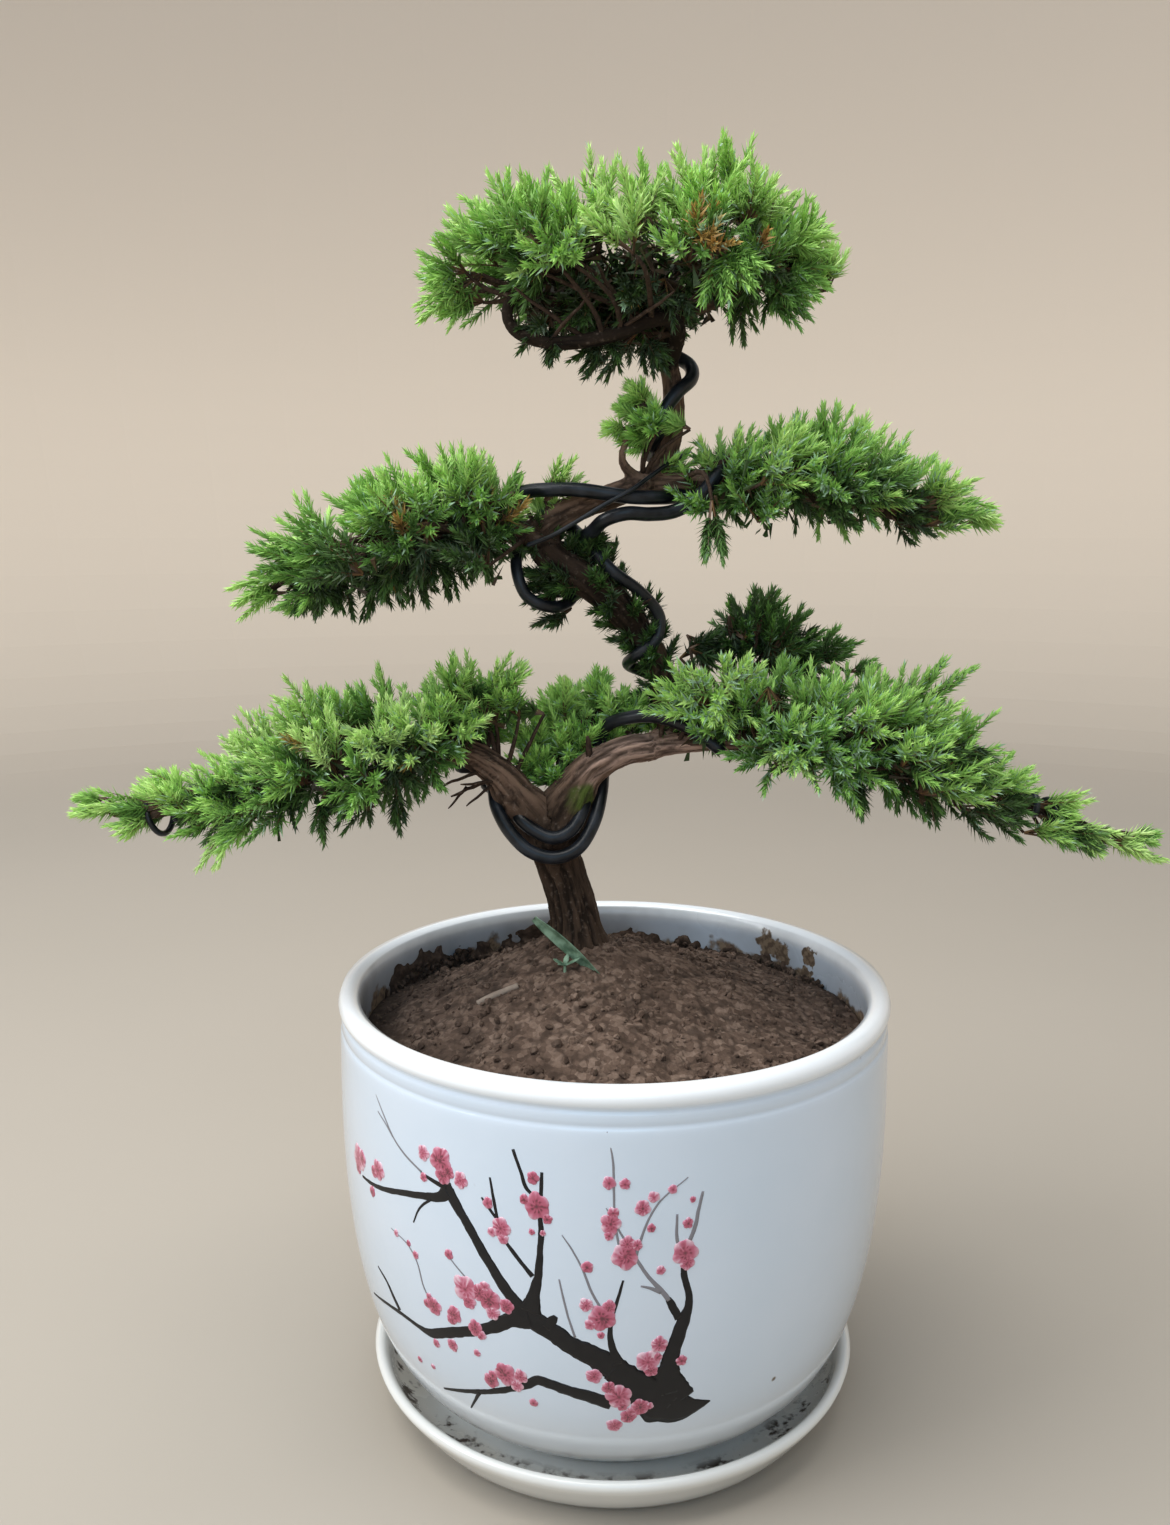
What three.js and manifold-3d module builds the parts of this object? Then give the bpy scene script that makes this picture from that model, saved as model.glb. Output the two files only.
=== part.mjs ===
// A juniper bonsai trained in three foliage tiers, planted in a glazed round pot that stands in its saucer.
// Units are millimetres, +Z is up and the origin is the middle of the saucer's underside.
// The tree is seen from -Y: its long lower branches run to -X and +X.

import * as THREE from "three";
import { mergeVertices } from "three/addons/utils/BufferGeometryUtils.js";
import Module from "manifold-3d";

const wasm = await Module();
wasm.setup();

// Driving dimensions of the pottery
const POT_RADIUS = 90.4;
const RIM_Z = 143;
const WALL = 7;
const LIP_HEIGHT = 5.5;
const FOOT_RADIUS = 57;
const FOOT_RING_WIDTH = 7;
const DRAIN_RADIUS = 8;
const SAUCER_RADIUS = 82;
const SAUCER_HEIGHT = 17.4;
const SAUCER_FLOOR = 5;
const SAUCER_BASE_RADIUS = 69;
const FLOOR_THICKNESS = 9;
const FOOT_RING_HEIGHT = 2.7;
const ROUND_SIDES = 40;

// Driving dimensions of the planting: the gap between touching pieces, the mound of soil and the wire sizes
const GAP = 0.3;
const SOIL_WALL_Z = 126;
const SOIL_PEAK_Z = 157;
const MOUND_X = -12;
const MOUND_Y = 8;
const MOUND_SLUMP = 1.15;
const WIRE_RADIUS = 2.2;
const THIN_WIRE_RADIUS = 1.9;
const TIE_RADIUS = 0.7;

// Facets of the wood and the wire
const WOOD_SIDES = 8;
const THIN_SIDES = 6;
const TRUNK_STEP = 8;
const CURL_STEP = 7;
const LIMB_STEP = 11;
const MIN_WIRE_STEP = 2.9;
const WIRE_STEP_IN_RADII = 2.3;
const THIN_WIRE_BELOW = 1.5;

const GLAZE = { color: 0xf1f3f5, roughness: 0.18, metalness: 0 };
const SOIL = { color: 0x6b4a38, roughness: 0.95, metalness: 0 };
const BARK = { color: 0x6e4f3c, roughness: 0.9, metalness: 0 };
const NEEDLES = { color: 0x4f8f3a, roughness: 0.75, metalness: 0 };
const WIRE = { color: 0x22252b, roughness: 0.45, metalness: 0.2 };
const BLADE = { color: 0x5f8468, roughness: 0.7, metalness: 0 };
const STRAW = { color: 0xb49a80, roughness: 0.9, metalness: 0 };

const tree = new THREE.Group();

function vec(p) {
  return new THREE.Vector3(p[0], p[1], p[2]);
}

function addPart(name, solid, look) {
  const mesh = new THREE.Mesh(geometryOf(solid), new THREE.MeshStandardMaterial(look));
  mesh.name = name;
  tree.add(mesh);
}

// Turns a closed three.js geometry into a solid for cutting and joining, with its faces pointing out.
function solidOf(geometry) {
  const plain = geometry.clone();
  plain.deleteAttribute("normal");
  plain.deleteAttribute("uv");
  const merged = mergeVertices(plain, 1e-4);
  const vertProperties = merged.attributes.position.array;
  const triVerts = new Uint32Array(merged.index.array);
  const solid = new wasm.Manifold(new wasm.Mesh({ numProp: 3, vertProperties, triVerts }));
  if (solid.volume() > 0) return solid;
  const turned = triVerts.map((_, i) => triVerts[i - (i % 3) + ((3 - (i % 3)) % 3)]);
  return new wasm.Manifold(new wasm.Mesh({ numProp: 3, vertProperties, triVerts: turned }));
}

function geometryOf(solid) {
  const mesh = solid.getMesh();
  const geometry = new THREE.BufferGeometry();
  geometry.setAttribute("position", new THREE.BufferAttribute(mesh.vertProperties, 3));
  geometry.setIndex(new THREE.BufferAttribute(mesh.triVerts, 1));
  return geometry;
}

// A cut can leave slivers beside the main body, and only the main body is kept.
function mainBody(solid) {
  return solid.decompose().reduce((a, b) => (b.volume() > a.volume() ? b : a));
}

function join(solids) {
  return solids.reduce((a, b) => a.add(b));
}

// A closed skin through rings of equal point count, with a fan over the first and the last ring.
function skin(rings, firstPoint, lastPoint) {
  const sides = rings[0].length;
  const points = [...rings.flat(), firstPoint, lastPoint];
  const first = points.length - 2;
  const last = points.length - 1;
  const faces = [];
  for (let k = 0; k < sides; k++) {
    const next = (k + 1) % sides;
    faces.push(first, next, k);
    const end = (rings.length - 1) * sides;
    faces.push(last, end + k, end + next);
    for (let i = 0; i < rings.length - 1; i++) {
      const low = i * sides;
      const high = low + sides;
      faces.push(low + k, low + next, high + next, low + k, high + next, high + k);
    }
  }
  const geometry = new THREE.BufferGeometry();
  geometry.setAttribute("position", new THREE.Float32BufferAttribute(points.flatMap((p) => p.toArray()), 3));
  geometry.setIndex(faces);
  return solidOf(geometry);
}

// The smooth line through a row of points, made longer by grow at both ends.
function smoothLine(points, grow = 0) {
  const line = points.map(vec);
  const lengthened = (end, inner) => end.clone().addScaledVector(end.clone().sub(inner).normalize(), grow);
  const start = lengthened(line[0], line[1]);
  const finish = lengthened(line.at(-1), line.at(-2));
  return new THREE.CatmullRomCurve3([start, ...line.slice(1, -1), finish], false, "centripetal");
}

// A limb that tapers along a smooth curve. Each station is [x, y, z, radius]; grow widens it all round.
function limb(stations, sides, stepLength, grow = 0) {
  const curve = smoothLine(stations, grow);
  const steps = Math.max(4, Math.ceil(curve.getLength() / stepLength));
  const frames = curve.computeFrenetFrames(steps, false);
  const widen = grow / Math.cos(Math.PI / sides);
  const rings = [];
  for (let i = 0; i <= steps; i++) {
    const share = curve.getUtoTmapping(i / steps) * (stations.length - 1);
    const before = Math.min(Math.floor(share), stations.length - 2);
    const radius = THREE.MathUtils.lerp(stations[before][3], stations[before + 1][3], share - before) + widen;
    const centre = curve.getPointAt(i / steps);
    const ring = [];
    for (let k = 0; k < sides; k++) {
      const turn = (2 * Math.PI * k) / sides;
      ring.push(
        centre
          .clone()
          .addScaledVector(frames.normals[i], radius * Math.cos(turn))
          .addScaledVector(frames.binormals[i], radius * Math.sin(turn)),
      );
    }
    rings.push(ring);
  }
  return skin(rings, curve.getPointAt(0), curve.getPointAt(1));
}

// Pottery

function lathe(profile) {
  const points = profile.map(([radius, z]) => new THREE.Vector2(radius, z));
  const geometry = new THREE.LatheGeometry(points, ROUND_SIDES);
  geometry.rotateX(Math.PI / 2);
  return solidOf(geometry);
}

const POT_BASE_Z = SAUCER_FLOOR + GAP;
const POT_FLOOR_Z = POT_BASE_Z + FLOOR_THICKNESS;
const LIP_Z = RIM_Z - LIP_HEIGHT;

// Outside of the pot from the foot up: the foot ring, the swelling wall, then the groove under the lip.
const POT_OUTSIDE = [
  [FOOT_RADIUS, POT_BASE_Z],
  [FOOT_RADIUS + 1.5, 9],
  [62, 10.5],
  [70, 16],
  [76.4, 24],
  [82.4, 38],
  [86.6, 56],
  [89.2, 78],
  [90.2, 100],
  [89.8, LIP_Z - 2.5],
  [89, LIP_Z - 1],
];
const POT_LIP = [
  [90, LIP_Z],
  [POT_RADIUS, RIM_Z - 3.4],
  [88.6, RIM_Z],
  [85.4, RIM_Z],
  [83.2, RIM_Z - 3.2],
];
const POT_INSIDE = [
  [POT_RADIUS - WALL, 120],
  [83, 98],
  [82, 78],
  [79.4, 57],
  [75, 40],
  [69, 28],
  [60, 19],
  [50, POT_FLOOR_Z],
  [DRAIN_RADIUS, POT_FLOOR_Z],
];

function pot() {
  const underside = [
    [DRAIN_RADIUS, POT_BASE_Z + FOOT_RING_HEIGHT],
    [FOOT_RADIUS - FOOT_RING_WIDTH - 1, POT_BASE_Z + FOOT_RING_HEIGHT],
    [FOOT_RADIUS - FOOT_RING_WIDTH, POT_BASE_Z],
  ];
  const outline = [...POT_OUTSIDE, ...POT_LIP, ...POT_INSIDE, ...underside];
  return lathe([...outline, outline[0]]);
}

function saucer() {
  return lathe([
    [0, 0],
    [SAUCER_BASE_RADIUS, 0],
    [71, 0.8],
    [74.5, 4.5],
    [78.5, 10],
    [81.4, 14.4],
    [SAUCER_RADIUS, 16.4],
    [81.4, SAUCER_HEIGHT],
    [79.6, SAUCER_HEIGHT],
    [78.2, 16.4],
    [75, 9.8],
    [70, 5.9],
    [65, SAUCER_FLOOR],
    [0, SAUCER_FLOOR],
  ]);
}

// Soil: heaped round the trunk and falling to the wall. The mound is off the pot's middle, under the tree.
function soilHeight(x, y) {
  const fromTrunk = Math.hypot(x - MOUND_X, y - MOUND_Y);
  const fromWall = Math.max(POT_RADIUS - WALL - Math.hypot(x, y), 0);
  const towardsTrunk = fromWall / (fromTrunk + fromWall);
  return SOIL_WALL_Z + (SOIL_PEAK_Z - SOIL_WALL_Z) * Math.pow(towardsTrunk, MOUND_SLUMP);
}

function soil() {
  const below = [
    [49.8, POT_FLOOR_Z + GAP],
    [68.5, 28.3],
    [78.9, 57.1],
    [82.5, 98],
    [82.9, SOIL_WALL_Z],
  ];
  const ringAt = (radius, height) => {
    const ring = [];
    for (let k = 0; k < ROUND_SIDES; k++) {
      const turn = (2 * Math.PI * k) / ROUND_SIDES;
      const x = radius * Math.cos(turn);
      const y = radius * Math.sin(turn);
      ring.push(new THREE.Vector3(x, y, height ?? soilHeight(x, y)));
    }
    return ring;
  };
  const sides = below.map(([radius, z]) => ringAt(radius, z));
  const top = [76, 64, 50, 35, 20].map((radius) => ringAt(radius));
  return skin(
    [...sides, ...top],
    new THREE.Vector3(0, 0, POT_FLOOR_Z + GAP),
    new THREE.Vector3(0, 0, soilHeight(0, 0)),
  );
}

// Wood: every limb is a list of [x, y, z, radius] from its root to its tip.
const TRUNK = [
  [-10, 10, 110, 12.5],
  [-11, 9, 132, 13],
  [-12, 8, 147, 12],
  [-12.7, 8, 158, 10.2],
  [-16, 7, 174, 9.2],
  [-19.5, 5, 187, 10],
  [-16, 3, 200, 7.4],
  [-8.5, 2, 212, 5.7],
  [3, 4, 218, 5.1],
  [14.5, 8, 220, 4.6],
  [20.5, 13.5, 228, 4.6],
  [16.5, 15.5, 240, 4.8],
  [11, 13, 252, 5],
  [2, 8, 264, 5.2],
  [-9.5, 4, 274, 5.6],
  [-20, 4, 281, 5.8],
  [-23.5, 4, 288, 5.3],
  [-15.5, 1, 294.5, 4.7],
  [-1, 0, 299.5, 4.1],
  [11.5, 4, 305.5, 3.8],
  [17.5, 8, 317, 3.6],
  [18.3, 9, 331, 3.4],
  [16, 7, 342, 3.2],
  [10, 3, 352, 2.6],
];
const LEFT_LIMB = [
  [-20, 5, 188, 7],
  [-30, 1, 202.5, 6.3],
  [-38, -1, 212.5, 5.7],
  [-49, -2, 219, 4.7],
  [-69, -3, 220.5, 3.6],
  [-94.5, -4, 215, 2.8],
  [-124, -4, 205, 2],
  [-150, -3, 198.5, 1.5],
  [-164, -2, 198.5, 1.1],
];
const RIGHT_LIMB = [
  [13.5, 7, 219.5, 3.8],
  [34, 0, 222, 3.2],
  [59, -4, 220.5, 2.8],
  [91, -5, 214.5, 2.4],
  [121, -3, 207, 2],
  [138.5, 0, 201, 1.7],
  [159.5, 2, 192, 1.3],
  [174, 3, 187, 1],
];
const MID_LEFT_LIMB = [
  [-22, 4, 286, 4.2],
  [-35, 0, 290, 3.4],
  [-55, -3, 288, 2.8],
  [-76, -4, 283, 2.2],
  [-99, -3, 275.5, 1.6],
  [-110, -2, 270, 1.2],
];
const MID_RIGHT_LIMB = [
  [11, 4, 304, 3],
  [26, 0, 304, 2.7],
  [51, -3, 301, 2.2],
  [75, -4, 297, 1.8],
  [101, -2, 294, 1.4],
  [112, 0, 293, 1.1],
];
const SHOOTS = [
  [[10, 3, 350, 2.4], [-5, 4, 354, 2], [-26, 4, 360, 1.6], [-46, 0, 366, 1.2]],
  [[10, 3, 350, 2.4], [30, 0, 357, 1.8], [50, 2, 366, 1.2]],
  [[10, 3, 350, 2.4], [19.5, 6, 368, 1.7], [27, 8, 386, 1.1]],
  [[10, 3, 350, 2.4], [8, 20, 362, 1.6], [4, 32, 374, 1.1]],
  [[9, 3, 303.5, 2], [2, -3, 310, 1.5], [4, -5, 319, 1.2], [6, -5, 326, 1]],
];
const CURLED_LIMB = [
  [16.5, 7, 340, 3],
  [18.5, -1, 349, 2.9],
  [13.5, -10, 351.5, 2.7],
  [1, -14.5, 346.6, 2.5],
  [-11, -15, 343.8, 2.3],
  [-22.5, -14.5, 344, 2.1],
  [-31, -13, 348, 1.9],
  [-32.5, -12, 354, 1.8],
  [-25.5, -10, 360, 1.6],
  [-14, -6, 366, 1.4],
  [-6, -3, 371, 1.2],
];
const LOWER_SHOOTS = [
  [[-15, 6, 205, 2.4], [-17, 13, 216, 1.7], [-9, 19, 227, 1.3], [4, 20, 234, 1]],
  [[20.5, 14, 226, 2.8], [34, 29, 231, 2.1], [48, 40, 239, 1.7], [66, 44, 245, 1.3], [82, 43, 244, 1]],
  [[45, 38, 238, 1.5], [50, 43, 250, 1.2], [52, 46, 261, 1]],
];

function wood(grow = 0) {
  const thin = [RIGHT_LIMB, MID_LEFT_LIMB, MID_RIGHT_LIMB, ...SHOOTS, ...LOWER_SHOOTS];
  return join([
    limb(TRUNK, WOOD_SIDES, TRUNK_STEP, grow),
    limb(LEFT_LIMB, WOOD_SIDES, LIMB_STEP, grow),
    limb(CURLED_LIMB, THIN_SIDES, CURL_STEP, grow),
    ...thin.map((stations) => limb(stations, THIN_SIDES, LIMB_STEP, grow)),
  ]);
}

// Training wire, each as its radius and the points of its middle line.
const FORK_WIRE_OUTER = [
  [-50, 4, 213],
  [-44, 6.5, 212],
  [-40, 4, 208],
  [-38, -1.8, 200.6],
  [-33.4, -6.4, 193.2],
  [-27, -9, 187.8],
  [-19.8, -9.4, 185.8],
  [-12, -7.8, 188.2],
  [-6.8, -3, 195.4],
  [-4.2, 3.2, 204.4],
  [-3.6, 9.2, 212],
  [-4.6, 11.4, 219.5],
  [-2, 8.6, 226],
  [4.3, 4.4, 229],
  [10.5, 1.4, 230.2],
  [18, -2, 229.2],
  [26, -5, 226],
  [33, -7.4, 221],
];
const FORK_WIRE_INNER = [
  [-42, 10, 205.5],
  [-36.4, 6.6, 203.4],
  [-32.2, 0.4, 200.8],
  [-30.4, -4.4, 197.4],
  [-25.4, -6.4, 193.8],
  [-19.4, -7.6, 191.8],
  [-13.8, -5.8, 194.2],
  [-10.2, -1.8, 200.2],
  [-8.8, 4.6, 206.4],
  [-9.4, 10.6, 211],
  [-14, 14.6, 214],
];
const TRUNK_WIRE = [
  [27, 23, 234],
  [18.5, 24, 238.5],
  [9.5, 20.6, 242.5],
  [4.6, 14, 245.6],
  [7, 7, 249.2],
  [13.6, 5.4, 254.6],
  [14.6, 6.2, 261.4],
  [8.4, 3, 269.4],
  [-0.6, -0.6, 276.4],
  [-7.4, 3.2, 283],
  [-8.6, 10.2, 281.6],
  [-10.6, 12, 273.4],
  [-14.6, 7.6, 266.4],
  [-21, 0.4, 265.2],
  [-27.6, -0.8, 268.4],
  [-30.8, 0.2, 275.4],
  [-31, 5.6, 282.6],
  [-28.6, 10.6, 288.4],
  [-21, 11.6, 293],
];
const MID_LIMB_WIRE = [
  [-16, 10.4, 291.6],
  [-11, 6.4, 287.4],
  [-7.6, -0.6, 288.4],
  [-3.4, -6.6, 292.2],
  [3.4, -8.4, 294.2],
  [10.6, -6.4, 294],
  [18.4, -4.4, 295],
  [26, -5.2, 299.6],
  [32, -3.4, 306.6],
  [37.4, 2.6, 308],
];
const CROWN_WIRE = [
  [-38, 5, 297],
  [-29.4, 0.6, 300.6],
  [-21, -5.2, 301.4],
  [-10.4, -8, 301.2],
  [0, -8.6, 299.6],
  [10, -6, 299],
  [19, 0.4, 299.6],
  [24.4, 7.4, 302.6],
  [22.8, 13.8, 307],
  [16.4, 15.4, 310.6],
  [10.8, 11, 313],
  [11.6, 5, 316],
  [14, 2.4, 320.4],
  [15.4, 2.6, 326],
  [19.4, 3.6, 331.4],
  [23.8, 7.6, 335.8],
  [23.4, 13, 340.4],
  [16.4, 14.6, 344.6],
];
const TIE_WIRE = [
  [-27, -8.4, 284.6],
  [-20, -10.6, 287.4],
  [-12.4, -11.8, 291.6],
  [-4, -12, 296.6],
  [3.6, -11.8, 300.6],
  [10, -6.6, 305],
  [16.6, -0.2, 309.6],
  [22.4, 6.4, 312.6],
];

// A wire wound on a limb: turns about the straight line from one point to the other.
function winding(from, to, turns, coilRadius) {
  const start = vec(from);
  const along = vec(to).sub(start);
  const axis = along.clone().normalize();
  const side = new THREE.Vector3(0, 1, 0).projectOnPlane(axis).normalize();
  const up = axis.clone().cross(side);
  const points = [];
  const count = Math.round(turns * 8);
  for (let i = 0; i <= count; i++) {
    const turn = (2 * Math.PI * turns * i) / count;
    const point = start.clone().addScaledVector(along, i / count);
    point.addScaledVector(side, coilRadius * Math.cos(turn)).addScaledVector(up, coilRadius * Math.sin(turn));
    points.push(point.toArray());
  }
  return points;
}

const WIRES = {
  fork_wire_outer: [WIRE_RADIUS, FORK_WIRE_OUTER],
  fork_wire_inner: [WIRE_RADIUS, FORK_WIRE_INNER],
  trunk_wire: [THIN_WIRE_RADIUS, TRUNK_WIRE],
  mid_limb_wire: [WIRE_RADIUS, MID_LIMB_WIRE],
  crown_wire: [WIRE_RADIUS, CROWN_WIRE],
  tie_wire: [TIE_RADIUS, TIE_WIRE],
  left_tip_wire: [1, winding([-152.5, -3, 196.4], [-140, -3.4, 198.4], 1.5, 5)],
  right_tip_wire: [1.1, winding([133, -0.8, 202.6], [146, 0.8, 197.8], 2, 3.1)],
};

function wire([radius, points], grow = 0) {
  const path = smoothLine(points, grow);
  const halfSides = radius > THIN_WIRE_BELOW ? 4 : 3;
  const section = new THREE.Shape();
  section.absarc(0, 0, (radius + grow) / Math.cos(Math.PI / (2 * halfSides)), 0, 2 * Math.PI);
  const steps = Math.ceil(path.getLength() / Math.max(MIN_WIRE_STEP, WIRE_STEP_IN_RADII * radius));
  const bar = { steps, extrudePath: path, curveSegments: halfSides, bevelEnabled: false };
  return solidOf(new THREE.ExtrudeGeometry(section, bar));
}

// Foliage: each tier is a lumpy cushion through stations across X, from its outer tip to its inner end.
// A station is [x, middle y, half depth, bottom z, top z].
const TIERS = {
  lower_left_foliage: [
    [-177, -2, 3, 196.5, 200],
    [-166, -2, 10, 195, 203],
    [-150, -3, 17, 192, 212],
    [-134, -3, 23, 188, 218],
    [-117, -4, 31, 192, 231],
    [-101, -4, 37, 194, 242],
    [-85, -4, 39, 193, 245],
    [-69, -3, 37, 198, 245],
    [-53, -2, 29, 207, 248],
    [-40, -2, 20, 220, 249],
    [-33, -2, 8, 228, 242],
  ],
  lower_right_foliage: [
    [182, 3, 2.5, 182.5, 186],
    [169, 3, 6, 183, 192],
    [158, 2, 9, 183, 197],
    [145, 1, 12, 187, 204],
    [131, 0, 19, 194, 214],
    [117, -2, 29, 196, 233],
    [100, -3, 36, 198, 243],
    [84, -3, 38, 199, 248],
    [65, -2, 38, 204, 249],
    [46, 0, 34, 211, 248],
    [30, 3, 25, 215, 248],
    [20, 5, 10, 222, 243],
  ],
  lower_back_foliage: [
    [96, 41, 2.5, 238.5, 245],
    [90, 42, 8, 236, 250],
    [78, 44, 14, 234, 256],
    [65, 46, 17, 234, 264],
    [53, 46, 17, 235, 270],
    [43, 43, 13, 236, 267],
    [35, 40, 5, 239, 255],
  ],
  mid_left_foliage: [
    [-118.5, -2, 3, 264.5, 268],
    [-110, -2, 14, 264, 287],
    [-98, -3, 24, 265, 297],
    [-86, -4, 31, 267, 305],
    [-73, -4, 34, 267, 313],
    [-58, -3, 33, 268, 315],
    [-42, -2, 26, 272, 315],
    [-30, 0, 16, 278, 309],
    [-24, 1, 6, 285, 303],
  ],
  mid_right_foliage: [
    [120, 0, 3, 291.5, 295],
    [114, 0, 11, 288, 301],
    [103, -1, 20, 285, 310],
    [87, -3, 29, 284, 318],
    [70, -3, 33, 284, 327],
    [51, -2, 32, 285, 326],
    [38, 0, 26, 285, 325],
    [28, 2, 18, 291, 323],
    [22, 2, 7, 298, 316],
  ],
  crown_foliage: [
    [-60, -2, 9, 359, 370],
    [-50, -2, 26, 354, 383],
    [-35, -2, 39, 348, 391],
    [-20, -1, 44, 342, 394],
    [-5, 0, 46, 338, 394],
    [11, 1, 46, 338, 394],
    [25, 2, 42, 344, 400],
    [37, 2, 36, 348, 401],
    [52, 2, 24, 353, 391],
    [64, 2, 9, 361, 376],
  ],
};
const TIER_SIDES = 12;
const WAIST = 0.4;
const LUMP = 0.07;

// Cross-section of a tier at one station: a dome above and a flatter belly below, rippled into tufts.
function tierRing([x, middle, halfDepth, bottom, top], index) {
  const waist = bottom + (top - bottom) * WAIST;
  const ring = [];
  for (let k = 0; k < TIER_SIDES; k++) {
    const turn = (2 * Math.PI * k) / TIER_SIDES;
    const lump = 1 + LUMP * Math.sin(3 * turn + 2.1 * index) * Math.cos(1.7 * index);
    const rise = Math.sin(turn) > 0 ? top - waist : waist - bottom;
    ring.push(
      new THREE.Vector3(x, middle + halfDepth * lump * Math.cos(turn), waist + rise * Math.sin(turn)),
    );
  }
  return ring;
}

function tier(stations) {
  const rings = stations.map(tierRing);
  const endPoint = ([x, middle, , bottom, top], beyond) => {
    return new THREE.Vector3(x + beyond, middle, (bottom + top) / 2);
  };
  const outwards = Math.sign(stations[0][0] - stations[1][0]);
  return skin(rings, endPoint(stations[0], outwards), endPoint(stations.at(-1), -outwards));
}

// A small tuft: an egg-shaped cushion of needles about one shoot.
function tuft(centre, radii) {
  const geometry = new THREE.SphereGeometry(1, 10, 7);
  geometry.scale(radii[0], radii[1], radii[2]);
  geometry.translate(centre[0], centre[1], centre[2]);
  return solidOf(geometry);
}
const TUFTS = {
  centre_tuft: [[4.5, -5, 321], [11, 8, 11.5]],
  lower_centre_foliage: [[-8, 21, 228], [23, 12, 15]],
};

// Litter on the soil: a green blade leaning by the trunk, a seedling and a bit of straw.
// Each sits in a pocket of the soil, which is its own shape made wider by grow.
const BLADE_ROOT = [-4.2, -12.4];
const BLADE_LENGTH = 29;
const BLADE_WIDTH = 4.6;
const BLADE_THICKNESS = 0.6;
const BLADE_LEAN = THREE.MathUtils.degToRad(-50);
const SEEDLING_PLACE = [-16, -13.6];
const STEM_RADIUS = 0.6;
const STEM_LENGTH = 7;
const STRAW_LINE = [[-43.5, -15], [-36.5, -15.8], [-30.5, -16.4]];
const STRAW_RADIUS = 0.8;
const STRAW_STEP = 5;

function blade(grow = 0) {
  const bulge = BLADE_WIDTH + 2 * grow;
  const outline = new THREE.Shape();
  outline.moveTo(0, -grow);
  outline.quadraticCurveTo(bulge, BLADE_LENGTH * 0.4, 0, BLADE_LENGTH + grow);
  outline.quadraticCurveTo(-bulge, BLADE_LENGTH * 0.4, 0, -grow);
  const depth = BLADE_THICKNESS + 2 * grow;
  const geometry = new THREE.ExtrudeGeometry(outline, { depth, bevelEnabled: false, curveSegments: 6 });
  geometry.translate(0, 0, -depth / 2);
  geometry.rotateX(Math.PI / 2 - 0.2);
  geometry.rotateY(BLADE_LEAN);
  const [x, y] = BLADE_ROOT;
  geometry.translate(x, y, soilHeight(x, y) - 2);
  return solidOf(geometry);
}

function seedling(grow = 0) {
  const [x, y] = SEEDLING_PLACE;
  const stem = new THREE.CylinderGeometry(STEM_RADIUS + grow, STEM_RADIUS + grow, STEM_LENGTH + 2 * grow, 6);
  stem.rotateX(Math.PI / 2);
  const leaflets = [0.4, 2.4, 4.3].map((turn) => {
    const leaf = new THREE.SphereGeometry(1, 6, 4);
    leaf.scale(3.2, 1.3, 0.5);
    leaf.rotateY(-0.3);
    leaf.translate(2.6, 0, 3.2);
    leaf.rotateZ(turn);
    return solidOf(leaf);
  });
  return join([solidOf(stem), ...leaflets]).translate([x, y, soilHeight(x, y) + 0.5]);
}

function straw(grow = 0) {
  const line = STRAW_LINE.map(([x, y]) => [x, y, soilHeight(x, y) + GAP, STRAW_RADIUS]);
  return limb(line, THIN_SIDES, STRAW_STEP, grow);
}

// Assembly: wires press into the bark, the foliage closes round wood and wire, and the soil round the root.
const wireRoom = join(Object.values(WIRES).map((run) => wire(run, GAP)));
const woodRoom = wood(GAP);
const taken = woodRoom.add(wireRoom);
const litterRoom = join([blade(GAP), seedling(GAP), straw(GAP)]);

addPart("saucer", saucer(), GLAZE);
addPart("pot", pot(), GLAZE);
addPart("soil", mainBody(soil().subtract(woodRoom).subtract(litterRoom)), SOIL);
addPart("trunk_and_limbs", mainBody(wood().subtract(wireRoom)), BARK);
for (const [name, run] of Object.entries(WIRES)) addPart(name, wire(run), WIRE);
for (const [name, stations] of Object.entries(TIERS)) {
  addPart(name, mainBody(tier(stations).subtract(taken)), NEEDLES);
}
for (const [name, [centre, radii]] of Object.entries(TUFTS)) {
  addPart(name, mainBody(tuft(centre, radii).subtract(taken)), NEEDLES);
}
addPart("green_blade", blade(), BLADE);
addPart("seedling", seedling(), BLADE);
addPart("straw", straw(), STRAW);

export default tree;
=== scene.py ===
"""Juniper bonsai: the looks of its pottery, soil, wood, training wire and foliage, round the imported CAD.

Lengths in the tables are millimetres and become metres where a mesh is made. The tables of limbs, wires and
tiers repeat the CAD source, so every piece lies where its CAD node lies.
"""

import math

import bpy
import numpy as np
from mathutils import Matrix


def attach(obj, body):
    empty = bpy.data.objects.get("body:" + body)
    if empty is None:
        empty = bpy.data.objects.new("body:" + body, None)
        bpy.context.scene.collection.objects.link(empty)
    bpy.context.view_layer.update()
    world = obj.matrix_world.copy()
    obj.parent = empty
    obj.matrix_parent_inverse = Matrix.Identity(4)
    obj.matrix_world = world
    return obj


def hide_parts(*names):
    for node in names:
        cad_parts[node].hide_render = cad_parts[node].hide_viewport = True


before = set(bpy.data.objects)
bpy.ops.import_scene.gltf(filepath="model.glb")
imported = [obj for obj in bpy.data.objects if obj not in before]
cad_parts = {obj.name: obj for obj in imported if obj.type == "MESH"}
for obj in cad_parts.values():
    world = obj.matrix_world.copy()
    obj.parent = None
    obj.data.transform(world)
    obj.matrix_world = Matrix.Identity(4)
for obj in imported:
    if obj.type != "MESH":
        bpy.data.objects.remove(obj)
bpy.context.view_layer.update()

MM = 0.001
UP = np.array([0.0, 0.0, 1.0])

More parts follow.
